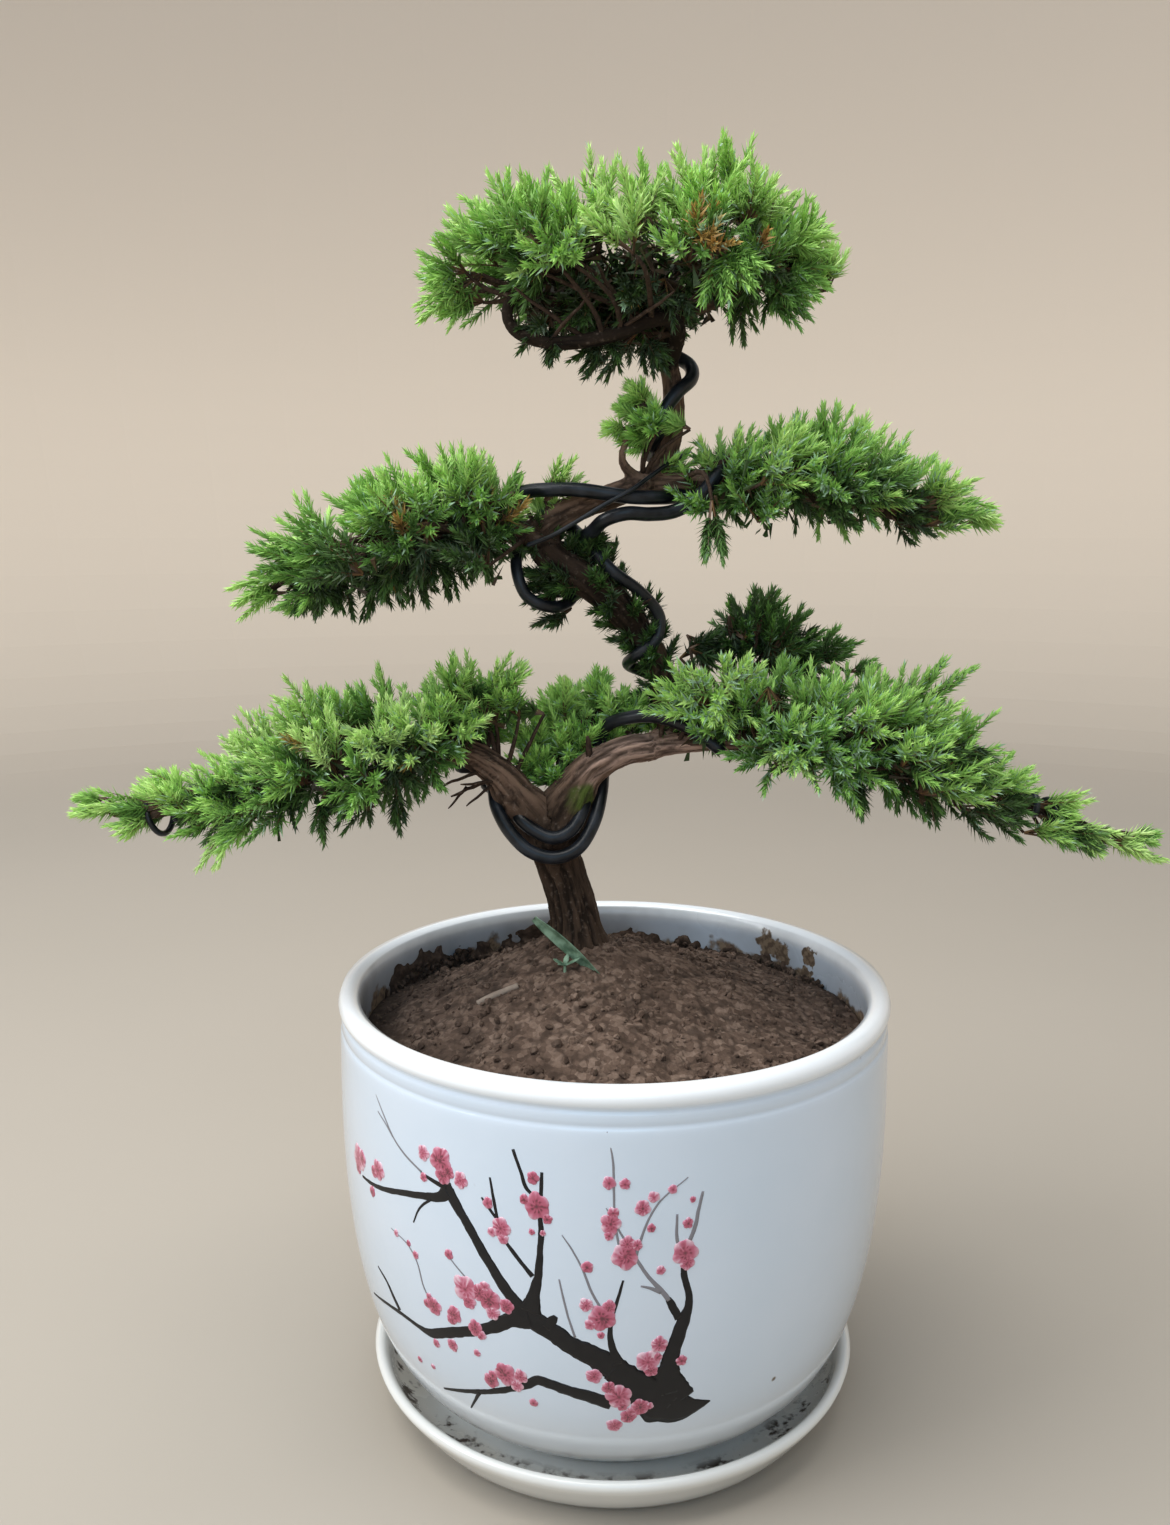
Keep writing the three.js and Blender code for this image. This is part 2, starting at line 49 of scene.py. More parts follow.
# Camera, fitted to the pot's rim and the saucer
CAMERA_PLACE = (-10.32, -416.83, 291.36)
CAMERA_DIP = 0.181
CAMERA_TURN = -0.002
CAMERA_LENS = 30.92

# Pottery: the same outline as the CAD pot and saucer, from the foot up, over the lip and down inside
POT_OUTSIDE = [
    (57, 5.3), (58.5, 9), (62, 10.5), (70, 16), (76.4, 24), (82.4, 38), (86.6, 56), (89.2, 78), (90.2, 100),
    (90.1, 122), (89.7, 131.2), (89.25, 131.9), (89.5, 132.8), (89.5, 135.4), (88.95, 136.6), (89.9, 137.9),
    (90.4, 140), (89.9, 142), (88.4, 143), (86, 143), (84.2, 142), (83.2, 139.8), (83.3, 132), (83.4, 120),
]
POT_INSIDE = [
    (83, 98), (82, 78), (79.4, 57), (75, 40), (69, 28), (60, 19), (50, 14.3), (30, 14.3), (8.6, 14.3),
    (8, 13.6), (8, 8.6), (8.6, 8), (30, 8), (48.6, 8), (49.4, 7.2), (50, 5.6), (50.6, 5.3), (56, 5.3),
]
SAUCER_OUTLINE = [
    (0.01, 0), (40, 0), (68, 0), (71, 0.8), (74.5, 4.5), (78.5, 10), (81.4, 14.4), (82, 16.2), (81.5, 17.3),
    (80.4, 17.5), (79.2, 17.2), (78, 15.8), (75, 9.8), (70, 5.9), (65, 5), (40, 5), (0.01, 5),
]
TROUGH_RADII = (60, 78)
POT_SIDES = 144
SAUCER_SIDES = 120
# Rows of the pot's mesh are close together near these grooves under the lip, and one in five elsewhere
GROOVES_Z = 134
GROOVES_REACH = 5
GROOVES_RADIUS = 87.5
# Where the pot's glaze changes: heights where the painted warm shade at the foot fades, of a line of painted
# shade there that stands for a groove, and of the painted light on the lip, and the radii where the inner
# wall ends
FOOT_PAINTED_SHADE = (8, 44)
FOOT_GROOVE_SHADE = (18.5, 20.0, 23.0)
LIP_PAINTED_LIGHT = (135.5, 139.5)
INNER_WALL = (83.9, 84.6)
# Mud smeared on the inner wall, in metres: place and radius
MUD_SMEARS = [
    ((0.0600, 0.0579, 0.1345), 0.0055), ((0.0650, 0.0524, 0.1325), 0.0045),
    ((0.0728, 0.0408, 0.1350), 0.0040), ((0.0722, 0.0418, 0.1285), 0.0030),
]

# Plum branch painted on the glaze: rows of (degrees round the pot, height, width) from root to tip. The front
# of the pot is at -90 degrees, and the length of an arc is taken at the radius that follows
GLAZE_RADIUS = 89
INK_LIMBS = [
    [(-79.6, 45, 10.8), (-86.1, 52.1, 9.4), (-91, 58.4, 7.4), (-94.7, 62.3, 6.4), (-98.3, 65.5, 5.8),
     (-101.8, 68.9, 5.8), (-104.5, 71.5, 6.1), (-107.7, 74.2, 5.5), (-109.7, 78.5, 3.6), (-111.9, 83.3, 3.3),
     (-114, 88.2, 3), (-116.3, 93.8, 3), (-118.5, 99.1, 3), (-120.8, 103.9, 3.3), (-122.1, 107, 3.9),
     (-122.3, 109.3, 2.1)],
    [(-91.4, 58.1, 6.8), (-86.1, 51.4, 10.6), (-81.6, 45, 14.6), (-78.5, 42.4, 10.9), (-75.4, 42.3, 7),
     (-71.7, 43.2, 0.4)],
    [(-82.5, 58.9, 6.2), (-79.6, 51.8, 7.5), (-76.9, 46.5, 5.7)],
    [(-79.8, 48.8, 9.5), (-80.9, 56.6, 6.2), (-80.3, 63.2, 4.3), (-79.4, 68.7, 4), (-78.6, 72.9, 3.6),
     (-77.8, 77.3, 2.4), (-77.7, 81.4, 1.8), (-78.7, 87.9, 1.8), (-78.9, 91.9, 1.2)],
    [(-79.3, 74.4, 2.4), (-80.7, 78.6, 2.1), (-81.5, 81.2, 1.5)],
    [(-122.3, 106.3, 4.2), (-124.6, 103.6, 2.7), (-128.1, 102.2, 2.1), (-133.3, 100.2, 1.8),
     (-138.7, 97.8, 1.6), (-144.5, 95.8, 1.3), (-149.3, 95.1, 0.8)],
    [(-122.5, 107.4, 1.8), (-126, 108.2, 1.2), (-128.7, 109.2, 0.8)],
    [(-126.3, 102.2, 0.9), (-129.3, 97.8, 0.7), (-131.2, 92.2, 0.5)],
    [(-106.3, 75, 6.1), (-105.5, 81, 3.3), (-104.6, 86.2, 2.4), (-104.2, 93.5, 1.6), (-103.9, 99.7, 1.5),
     (-104.1, 105.6, 1.2), (-103.9, 111.5, 1), (-103.7, 118.2, 0.9)],
    [(-105.6, 86.6, 1.5), (-107.4, 89.8, 1.2), (-109.4, 93.6, 1.2), (-110.7, 96.3, 0.9), (-111.8, 100.8, 0.9),
     (-112.7, 107.7, 0.9), (-113.4, 114.2, 0.6)],
    [(-112.3, 102.4, 0.9), (-114.1, 105.7, 0.9), (-115.1, 107.7, 0.6)],
    [(-105, 110.7, 0.9), (-106.6, 113.2, 1.1), (-107.5, 117.4, 0.9), (-109, 123.7, 0.9)],
    [(-106.4, 73, 7.3), (-110.4, 70.9, 4.3), (-113.5, 67.6, 3.7), (-117.3, 64.5, 3.1), (-122.9, 60.8, 3.2),
     (-129.8, 56, 2.9), (-133.3, 55.9, 1.6), (-138.5, 56.2, 1.5), (-144.4, 54.9, 1.3), (-152.6, 51.8, 0.7)],
    [(-139.1, 57.1, 2), (-140.8, 60.7, 1.7), (-142.6, 64.2, 1.3), (-145.9, 67.1, 0.7)],
    [(-91.4, 45.9, 4.4), (-95.6, 48.2, 4.1), (-99.2, 49.5, 3.8), (-102.9, 51.2, 3.5), (-105.6, 51.9, 3.5),
     (-108.2, 49.1, 2.5), (-111.3, 46.6, 2.2), (-116.5, 42.8, 1.9), (-122.3, 39.3, 1.6), (-129.8, 34.8, 0.8)],
    [(-119.1, 40.9, 1.3), (-120.6, 37.2, 1), (-122.9, 31.9, 0.5)],
    [(-90.3, 60.1, 4), (-91.2, 64.8, 2.1), (-91.8, 70.2, 1.5), (-91.4, 75.5, 0.9), (-90.4, 81.6, 0.9),
     (-89.5, 87.4, 0.6)],
    [(-103.5, 70.5, 3), (-102.1, 73.5, 2.7), (-101.5, 74.9, 1.2)],
]
GREY_TWIGS = [
    [(-128.5, 109.4, 0.7), (-133.3, 112.7, 0.7), (-136.2, 115.7, 0.6), (-139, 120.4, 0.6),
     (-143.5, 128.1, 0.3)],
    [(-136.5, 115.9, 0.5), (-138.7, 118.6, 0.5), (-141.5, 121.1, 0.4)],
    [(-98.1, 68.6, 0.7), (-99.3, 75.3, 0.6), (-100, 80.4, 0.6), (-100.8, 86.8, 0.4)],
    [(-93.2, 78, 0.7), (-95, 83.5, 0.7), (-96.7, 90.8, 0.6), (-98.4, 96.1, 0.5), (-100.2, 100.4, 0.3)],
    [(-90.1, 96.6, 0.7), (-91, 105, 0.6), (-91.2, 114.3, 0.6), (-91.4, 123, 0.6), (-92.4, 131, 0.3)],
    [(-87.6, 92.9, 0.9), (-86.3, 100.8, 0.7), (-84.9, 106.5, 0.6), (-82.9, 111.3, 0.5), (-78.3, 117.1, 0.3)],
    [(-81.3, 80.5, 1.5), (-82.8, 83.9, 1.3), (-85, 88.1, 1), (-86.4, 91.6, 0.9), (-88, 96, 0.7),
     (-90.5, 103.2, 0.6), (-92.5, 109.1, 0.3)],
    [(-82.8, 83.2, 1.2), (-84.6, 84.7, 0.9), (-86.4, 85.5, 0.5)],
    [(-77.8, 98.4, 1.1), (-76.9, 102.5, 1.1), (-76.3, 107.6, 1), (-75.6, 112.5, 0.7)],
    [(-79.2, 94.1, 1), (-80.1, 98.9, 0.9), (-80.2, 106.6, 0.6)],
    [(-128.1, 67.8, 0.6), (-129.8, 72.1, 0.6), (-131, 79.4, 0.6), (-133.4, 83.7, 0.5), (-138.3, 85.7, 0.3)],
    [(-118.2, 80.1, 0.6), (-120.7, 83.3, 0.5), (-122.7, 86.1, 0.4)],
]
# Blossoms and buds: degrees, height and radius
BLOSSOMS = [
    (-123.8, 115, 4.1), (-104.6, 108.1, 4), (-119.2, 77.3, 4.3), (-114.3, 76.3, 3.7), (-112.2, 51.5, 4.1),
    (-90, 48.5, 4.4), (-89.2, 94.8, 4.1), (-78.6, 94.9, 3.8), (-93.2, 75.4, 3.9), (-84.8, 60.8, 3.7),
    (-111.4, 99.7, 3.2), (-127.9, 115.5, 2.4), (-119.4, 111.1, 2.6), (-150.9, 100, 4.2), (-141.7, 102.3, 3.1),
    (-144.8, 93.4, 1.9), (-105.3, 116.2, 2), (-127.4, 66.9, 2.9), (-122.4, 67.2, 2.8), (-117.7, 65, 2.8),
    (-92, 116.4, 2), (-89.3, 116.1, 1.7), (-91.7, 104.4, 3.2), (-86.2, 109, 2.3), (-84.3, 112.1, 1.7),
    (-81, 114, 1.4), (-84.7, 103, 1.4), (-82.9, 90.1, 1.5), (-95.8, 91.2, 1.8), (-96, 79.4, 2.1),
    (-82.8, 66.3, 2.7), (-78.5, 60.1, 1.9), (-85.9, 44.5, 3.2), (-90.9, 37.2, 2.6), (-88.2, 40.8, 2.6),
    (-94.7, 55.8, 2.5), (-106.9, 43.1, 1.6), (-110.8, 75.4, 2.4), (-113.9, 106.4, 1.8), (-78.2, 103.6, 1.7),
    (-131.2, 81.6, 1.4), (-122.6, 86.8, 1.7), (-128, 108.1, 1.5), (-136.7, 85.2, 1.3), (-133, 84.3, 1.1),
    (-123.8, 55.7, 2.2), (-118, 56.3, 1.3), (-128.3, 53.3, 1.6), (-115.6, 47.5, 2.6), (-109, 52.1, 2.5),
    (-93.4, 69.8, 1.2), (-103.6, 100.3, 1), (-105.6, 100.2, 1), (-77.4, 110.5, 1), (-135.5, 41.8, 1.2),
    (-131.1, 42.6, 1),
]

# Soil
SOIL_WALL_Z = 126
SOIL_PEAK_Z = 157
MOUND = (-12, 8)
MOUND_SLUMP = 1.15
SOIL_RADIUS = 83.1
HEAP_EDGE = 83.4
SOIL_SIDES = 348
SOIL_RINGS = 104
LOOSE_CRUMBS = 1500
# Radius at which a place along the wall is measured, of the wall's face and of a place inside the wall
WALL_RUN = 82
WALL_FACE = 83.3
WALL_CORE = 84.6
CRUMBS_WITHIN = 82.6
SOIL_UNDERSIDE = [(82.5, 98), (78.9, 57.1), (68.5, 28.3), (49.8, 14.6)]
# Sheets of soil caked on the wall at the back: from angle, to angle, reach up the wall and seed
CAKED_RUNS = [(97, 164, 11.0, 44), (61, 94, 7.5, 45), (22, 60, 3.0, 46)]
# Crumbs that cling there, thick on the left and sparse on the right: from angle, to angle, number and reach
CLUMP_RUNS = [(98, 160, 260, 6.5), (60, 94, 150, 5.0), (22, 58, 80, 3.0)]

# Wood: every limb is a row of (x, y, z, radius) from its root to its tip
TRUNK = [
    (-10, 10, 110, 12.5), (-11, 9, 132, 13), (-12, 8, 147, 12), (-12.7, 8, 158, 10.2), (-16, 7, 174, 9.2),
    (-19.5, 5, 187, 10), (-16, 3, 200, 7.4), (-8.5, 2, 212, 5.7), (3, 4, 218, 5.1), (14.5, 8, 220, 4.6),
    (20.5, 13.5, 228, 4.6), (16.5, 15.5, 240, 4.8), (11, 13, 252, 5), (2, 8, 264, 5.2), (-9.5, 4, 274, 5.6),
    (-20, 4, 281, 5.8), (-23.5, 4, 288, 5.3), (-15.5, 1, 294.5, 4.7), (-1, 0, 299.5, 4.1),
    (11.5, 4, 305.5, 3.8), (17.5, 8, 317, 3.6), (18.3, 9, 331, 3.4), (16, 7, 342, 3.2), (10, 3, 352, 2.6),
]
LEFT_LIMB = [
    (-20, 5, 188, 7), (-30, 1, 202.5, 6.3), (-38, -1, 212.5, 5.7), (-49, -2, 219, 4.7), (-69, -3, 220.5, 3.6),
    (-94.5, -4, 215, 2.8), (-124, -4, 205, 2), (-150, -3, 198.5, 1.5), (-164, -2, 198.5, 1.1),
]
RIGHT_LIMB = [
    (13.5, 7, 219.5, 3.8), (34, 0, 222, 3.2), (59, -4, 220.5, 2.8), (91, -5, 214.5, 2.4), (121, -3, 207, 2),
    (138.5, 0, 201, 1.7), (159.5, 2, 192, 1.3), (174, 3, 187, 1),
]
MID_LEFT_LIMB = [
    (-22, 4, 286, 4.2), (-35, 0, 290, 3.4), (-55, -3, 288, 2.8), (-76, -4, 283, 2.2), (-99, -3, 275.5, 1.6),
    (-110, -2, 270, 1.2),
]
MID_RIGHT_LIMB = [
    (11, 4, 304, 3), (26, 0, 304, 2.7), (51, -3, 301, 2.2), (75, -4, 297, 1.8), (101, -2, 294, 1.4),
    (112, 0, 293, 1.1),
]
CURLED_LIMB = [
    (16.5, 7, 340, 3), (18.5, -1, 349, 2.9), (13.5, -10, 351.5, 2.7), (1, -14.5, 346.6, 2.5),
    (-11, -15, 343.8, 2.3), (-22.5, -14.5, 344, 2.1), (-31, -13, 348, 1.9), (-32.5, -12, 354, 1.8),
    (-25.5, -10, 360, 1.6), (-14, -6, 366, 1.4), (-6, -3, 371, 1.2),
]
SHOOTS = [
    [(10, 3, 350, 2.4), (-5, 4, 354, 2), (-26, 4, 360, 1.6), (-46, 0, 366, 1.2)],
    [(10, 3, 350, 2.4), (30, 0, 357, 1.8), (50, 2, 366, 1.2)],
    [(10, 3, 350, 2.4), (19.5, 6, 368, 1.7), (27, 8, 386, 1.1)],
    [(10, 3, 350, 2.4), (8, 20, 362, 1.6), (4, 32, 374, 1.1)],
    [(9, 3, 303.5, 2), (2, -3, 310, 1.5), (4, -5, 319, 1.2), (6, -5, 326, 1)],
    [(-15, 6, 205, 2.4), (-17, 13, 216, 1.7), (-9, 19, 227, 1.3), (4, 20, 234, 1)],
    [(20.5, 14, 226, 2.8), (34, 29, 231, 2.1), (48, 40, 239, 1.7), (66, 44, 245, 1.3), (82, 43, 244, 1)],
    [(45, 38, 238, 1.5), (50, 43, 250, 1.2), (52, 46, 261, 1)],
]
LIMBS = [TRUNK, LEFT_LIMB, RIGHT_LIMB, MID_LEFT_LIMB, MID_RIGHT_LIMB, CURLED_LIMB, *SHOOTS]

# Training wire: radius, then the points of its middle line
THICK_WIRE = 2.2
WIRES = {
    "fork_wire_outer": (THICK_WIRE, [
        (-50, 4, 213), (-44, 6.5, 212), (-40, 4, 208), (-38, -1.8, 200.6), (-33.4, -6.4, 193.2),
        (-27, -9, 187.8), (-19.8, -9.4, 185.8), (-12, -7.8, 188.2), (-6.8, -3, 195.4), (-4.2, 3.2, 204.4),
        (-3.6, 9.2, 212), (-4.6, 11.4, 219.5), (-2, 8.6, 226), (4.3, 4.4, 229), (10.5, 1.4, 230.2),
        (18, -2, 229.2), (26, -5, 226), (33, -7.4, 221),
    ]),
    "fork_wire_inner": (THICK_WIRE, [
        (-42, 10, 205.5), (-36.4, 6.6, 203.4), (-32.2, 0.4, 200.8), (-30.4, -4.4, 197.4),
        (-25.4, -6.4, 193.8), (-19.4, -7.6, 191.8), (-13.8, -5.8, 194.2), (-10.2, -1.8, 200.2),
        (-8.8, 4.6, 206.4), (-9.4, 10.6, 211), (-14, 14.6, 214),
    ]),
    "trunk_wire": (1.9, [
        (27, 23, 234), (18.5, 24, 238.5), (9.5, 20.6, 242.5), (4.6, 14, 245.6), (7, 7, 249.2),
        (13.6, 5.4, 254.6), (14.6, 6.2, 261.4), (8.4, 3, 269.4), (-0.6, -0.6, 276.4), (-7.4, 3.2, 283),
        (-8.6, 10.2, 281.6), (-10.6, 12, 273.4), (-14.6, 7.6, 266.4), (-21, 0.4, 265.2),
        (-27.6, -0.8, 268.4), (-30.8, 0.2, 275.4), (-31, 5.6, 282.6), (-28.6, 10.6, 288.4),
        (-21, 11.6, 293),
    ]),
    "mid_limb_wire": (THICK_WIRE, [
        (-16, 10.4, 291.6), (-11, 6.4, 287.4), (-7.6, -0.6, 288.4), (-3.4, -6.6, 292.2), (3.4, -8.4, 294.2),
        (10.6, -6.4, 294), (18.4, -4.4, 295), (26, -5.2, 299.6), (32, -3.4, 306.6), (37.4, 2.6, 308),
    ]),
    "crown_wire": (THICK_WIRE, [
        (-38, 5, 297), (-29.4, 0.6, 300.6), (-21, -5.2, 301.4), (-10.4, -8, 301.2), (0, -8.6, 299.6),
        (10, -6, 299), (19, 0.4, 299.6), (24.4, 7.4, 302.6), (22.8, 13.8, 307), (16.4, 15.4, 310.6),
        (10.8, 11, 313), (11.6, 5, 316), (14, 2.4, 320.4), (15.4, 2.6, 326), (19.4, 3.6, 331.4),
        (23.8, 7.6, 335.8), (23.4, 13, 340.4), (16.4, 14.6, 344.6),
    ]),
    "tie_wire": (0.7, [
        (-27, -8.4, 284.6), (-20, -10.6, 287.4), (-12.4, -11.8, 291.6), (-4, -12, 296.6), (3.6, -11.8, 300.6),
        (10, -6.6, 305), (16.6, -0.2, 309.6), (22.4, 6.4, 312.6),
    ]),
}
# Wire wound on a branch tip: radius, from, to, turns and coil radius
TIP_WIRES = {
    "left_tip_wire": (1.0, (-152.5, -3, 196.4), (-140, -3.4, 198.4), 1.5, 5),
    "right_tip_wire": (1.1, (133, -0.8, 202.6), (146, 0.8, 197.8), 2, 3.1),
}

# Foliage tiers: (x, middle y, half depth, bottom z, top z), from the outer tip to the inner end
TIERS = {
    "lower_left_foliage": [
        (-177, -2, 3, 196.5, 200), (-166, -2, 10, 195, 203), (-150, -3, 17, 192, 212),
        (-134, -3, 23, 188, 218), (-117, -4, 31, 192, 231), (-101, -4, 37, 194, 242),
        (-85, -4, 39, 193, 245), (-69, -3, 37, 198, 245), (-53, -2, 29, 207, 248), (-40, -2, 20, 220, 249),
        (-33, -2, 8, 228, 242),
    ],
    "lower_right_foliage": [
        (182, 3, 2.5, 182.5, 186), (169, 3, 6, 183, 192), (158, 2, 9, 183, 197), (145, 1, 12, 187, 204),
        (131, 0, 19, 194, 214), (117, -2, 29, 196, 233), (100, -3, 36, 198, 243), (84, -3, 38, 199, 248),
        (65, -2, 38, 204, 249), (46, 0, 34, 211, 248), (30, 3, 25, 215, 248), (20, 5, 10, 222, 243),
    ],
    "lower_back_foliage": [
        (96, 41, 2.5, 238.5, 245), (90, 42, 8, 236, 250), (78, 44, 14, 234, 256), (65, 46, 17, 234, 264),
        (53, 46, 17, 235, 270), (43, 43, 13, 236, 267), (35, 40, 5, 239, 255),
    ],
    "mid_left_foliage": [
        (-118.5, -2, 3, 264.5, 268), (-110, -2, 14, 264, 287), (-98, -3, 24, 265, 297),
        (-86, -4, 31, 267, 305), (-73, -4, 34, 267, 313), (-58, -3, 33, 268, 315), (-42, -2, 26, 272, 315),
        (-30, 0, 16, 278, 309), (-24, 1, 6, 285, 303),
    ],
    "mid_right_foliage": [
        (120, 0, 3, 291.5, 295), (114, 0, 11, 288, 301), (103, -1, 20, 285, 310), (87, -3, 29, 284, 318),
        (70, -3, 33, 284, 327), (51, -2, 32, 285, 326), (38, 0, 26, 285, 325), (28, 2, 18, 291, 323),
        (22, 2, 7, 298, 316),
    ],
    "crown_foliage": [
        (-60, -2, 9, 359, 370), (-50, -2, 26, 354, 383), (-35, -2, 39, 348, 391), (-20, -1, 44, 342, 394),
        (-5, 0, 46, 338, 394), (11, 1, 46, 338, 394), (25, 2, 42, 344, 400), (37, 2, 36, 348, 401),
        (52, 2, 24, 353, 391), (64, 2, 9, 361, 376),
    ],
    "centre_tuft": [
        (-6, -5, 1, 320, 322), (-3, -5, 5, 314, 328), (4.5, -5, 8, 309.5, 332.5), (12, -5, 5, 314, 328),
        (15, -5, 1, 320, 322),
    ],
    "lower_centre_foliage": [
        (-31, 20, 1, 224, 228), (-24, 20, 9, 212, 237), (-8, 21, 12, 209, 242), (8, 21, 8, 216, 238),
        (15, 21, 1, 227, 229),
    ],
}
WAIST = 0.4


# Numbers spread over space


def noise(points, seed=0):
    """Random values in -1..1 at the corners of a unit lattice, blended along each axis by 3t^2 - 2t^3."""
    cell = np.floor(points).astype(np.int64)
    part = points - cell
    part = part * part * (3 - 2 * part)
    total = np.zeros(len(points))
    for corner in np.ndindex(2, 2, 2):
        key = (cell + corner).astype(np.uint64) * np.array([73856093, 19349663, 83492791], np.uint64)
        key = key[:, 0] ^ key[:, 1] ^ key[:, 2] ^ np.uint64(seed * 7919 + 17)
        key = (key ^ (key >> np.uint64(15))) * np.uint64(2246822519) & np.uint64(0xFFFFFFFF)
        key = (key ^ (key >> np.uint64(13))) * np.uint64(3266489917) & np.uint64(0xFFFFFFFF)
        value = (key >> np.uint64(8)).astype(float) / 2**23 - 1
        share = np.where(np.array(corner) == 1, part, 1 - part).prod(1)
        total += value * share
    return total


def cloud(points, size, octaves=3, seed=0):
    """Sum of noise at lattice sizes size, size/2, size/4 and so on, each half as strong as the last."""
    layers = [noise(points / (size / 2**k) + 31.7 * k, seed + k) / 2**k for k in range(octaves)]
    return sum(layers) / sum(0.5**k for k in range(octaves))


def crumbs_height(x, y, size, seed):
    """Packed crumbs: 1 less the squared distance to the nearest of the jittered points of a lattice."""
    points = np.stack([x, y, np.zeros_like(x)], 1) / size
    cell = np.floor(points)
    nearest = np.full(len(points), 9.0)
    for step in np.ndindex(3, 3):
        near = cell + [step[0] - 1, step[1] - 1, 0]
        jitter = np.stack([noise(near + 0.5 * (k + 1) * 1e-6, seed + k) for k in range(2)], 1)
        at = near[:, :2] + 0.5 + 0.42 * jitter
        nearest = np.minimum(nearest, ((points[:, :2] - at) ** 2).sum(1))
    return 1 - nearest


def unit(vectors):
    return vectors / np.maximum(np.linalg.norm(vectors, axis=-1, keepdims=True), 1e-12)


def dot(a, b):
    """Products of two vectors' parts added up, on an axis of its own."""
    return (a * b).sum(-1, keepdims=True)


def square_to(vectors, axis):
    """The part of each vector that is square to a unit axis, made one long."""
    return unit(vectors - dot(vectors, axis) * axis)


def run_along(points):
    """Distance of each point from the first one, along the line through them."""
    return np.concatenate([[0], np.cumsum(np.linalg.norm(np.diff(points, axis=0), axis=1))])


def blend(a, b, share):
    return a + (b - a) * share


def ease(values, low, high):
    """0 below low, 1 above high and a smooth 3t^2 - 2t^3 rise between."""
    t = np.clip((values - low) / (high - low), 0, 1)
    return t * t * (3 - 2 * t)


def between(values, begin, end):
    """Rises from 0 to 1 over the first pair of limits and falls back to 0 over the second."""
    return ease(values, *begin) * (1 - ease(values, *end))


# Curves and skins


def smooth_line(stations, spacing):
    """Centripetal Catmull-Rom curve through the stations, at even steps of about spacing along its length.

    Columns past x, y and z run straight from station to station.
    """
    rows = np.array(stations, float)
    ends = np.vstack([2 * rows[0] - rows[1], rows, 2 * rows[-1] - rows[-2]])[:, :3]
    knot = np.sqrt(np.linalg.norm(np.diff(ends, axis=0), axis=1))[:, None]
    a, b, c, d = ends[:-3], ends[1:-2], ends[2:-1], ends[3:]
    k0, k1, k2 = knot[:-2], knot[1:-1], knot[2:]
    leave = ((b - a) / k0 - (c - a) / (k0 + k1) + (c - b) / k1) * k1
    reach = ((c - b) / k1 - (d - b) / (k1 + k2) + (d - c) / k2) * k1
    t = np.linspace(0, 1, 24, endpoint=False)[None, :, None]
    b, c, leave, reach = (v[:, None] for v in (b, c, leave, reach))
    curve = b + leave * t + (3 * (c - b) - 2 * leave - reach) * t**2 + (2 * (b - c) + leave + reach) * t**3
    rest = blend(rows[:-1, None, 3:], rows[1:, None, 3:], t)
    fine = np.concatenate([curve, rest], 2).reshape(-1, rows.shape[1])
    fine = np.vstack([fine, rows[-1]])
    run = run_along(fine[:, :3])
    even = np.linspace(0, run[-1], max(int(round(run[-1] / spacing)), 3) + 1)
    return np.stack([np.interp(even, run, column) for column in fine.T], 1)


def frames_along(path):
    """Tangent, side and up at each point: side is carried on with as little turning as the path allows."""
    tangent = unit(np.gradient(path, axis=0))
    side = np.empty_like(tangent)
    turned = np.cross(tangent[0], [0.3, 0.9, 0.31])
    for i, along in enumerate(tangent):
        turned = unit(turned - (turned @ along) * along)
        side[i] = turned
    return tangent, side, np.cross(tangent, side)


def skin_faces(rings, sides):
    """Quads between the rings of a closed skin, and a fan to each of the two poles that follow the rings."""
    ring = np.arange(rings - 1)[:, None] * sides
    k = np.arange(sides)[None, :]
    after = (k + 1) % sides
    quads = np.stack([ring + k, ring + after, ring + sides + after, ring + sides + k], -1).reshape(-1, 4)
    k, after = k[0], after[0]
    first, last = rings * sides, rings * sides + 1
    end = (rings - 1) * sides
    fans = [
        np.stack([np.full(sides, first), after, k], 1),
        np.stack([np.full(sides, last), end + k, end + after], 1),
    ]
    return [quads, *fans]


def with_poles(rings):
    """The points of a skin: its rings, then the middle of the first ring and of the last."""
    return np.vstack([rings.reshape(-1, 3), rings[0].mean(0), rings[-1].mean(0)])


def tube(path, radius, sides):
    """Closed round bar: at each point of the path a ring of that radius, square to the path."""
    _, side, up = frames_along(path)
    turn = np.linspace(0, 2 * np.pi, sides, endpoint=False)[None, :, None]
    radius = np.broadcast_to(radius, len(path))[:, None, None]
    rings = path[:, None] + radius * (np.cos(turn) * side[:, None] + np.sin(turn) * up[:, None])
    return with_poles(rings), skin_faces(len(path), sides)


def rounded(path, radius):
    """Path and radii with three more rings at each end, on a quarter circle, so that both ends are domes."""
    bend = np.array([0.45, 0.8, 0.98])
    out = [unit(path[0] - path[1]), unit(path[-1] - path[-2])]
    before = path[0] + radius * np.sin(bend * np.pi / 2)[::-1, None] * out[0]
    behind = path[-1] + radius * np.sin(bend * np.pi / 2)[:, None] * out[1]
    shrink = radius * np.cos(bend * np.pi / 2)
    radii = np.concatenate([shrink[::-1], np.full(len(path), radius), shrink])
    return np.vstack([before, path, behind]), radii


def turned(outline, sides):
    """Surface of revolution: the outline, a row of (radius, height), carried round the Z axis."""
    turn = np.linspace(0, 2 * np.pi, sides, endpoint=False)[None, :]
    radius, height = outline[:, :1], outline[:, 1:]
    return np.stack([radius * np.cos(turn), radius * np.sin(turn), height + 0 * turn], -1)


def joined(shapes):
    """Several (points, faces) as one."""
    points, faces, count = [], [], 0
    for more, their in shapes:
        points.append(more)
        faces += [f + count for f in their]
        count += len(more)
    return np.vstack(points), faces


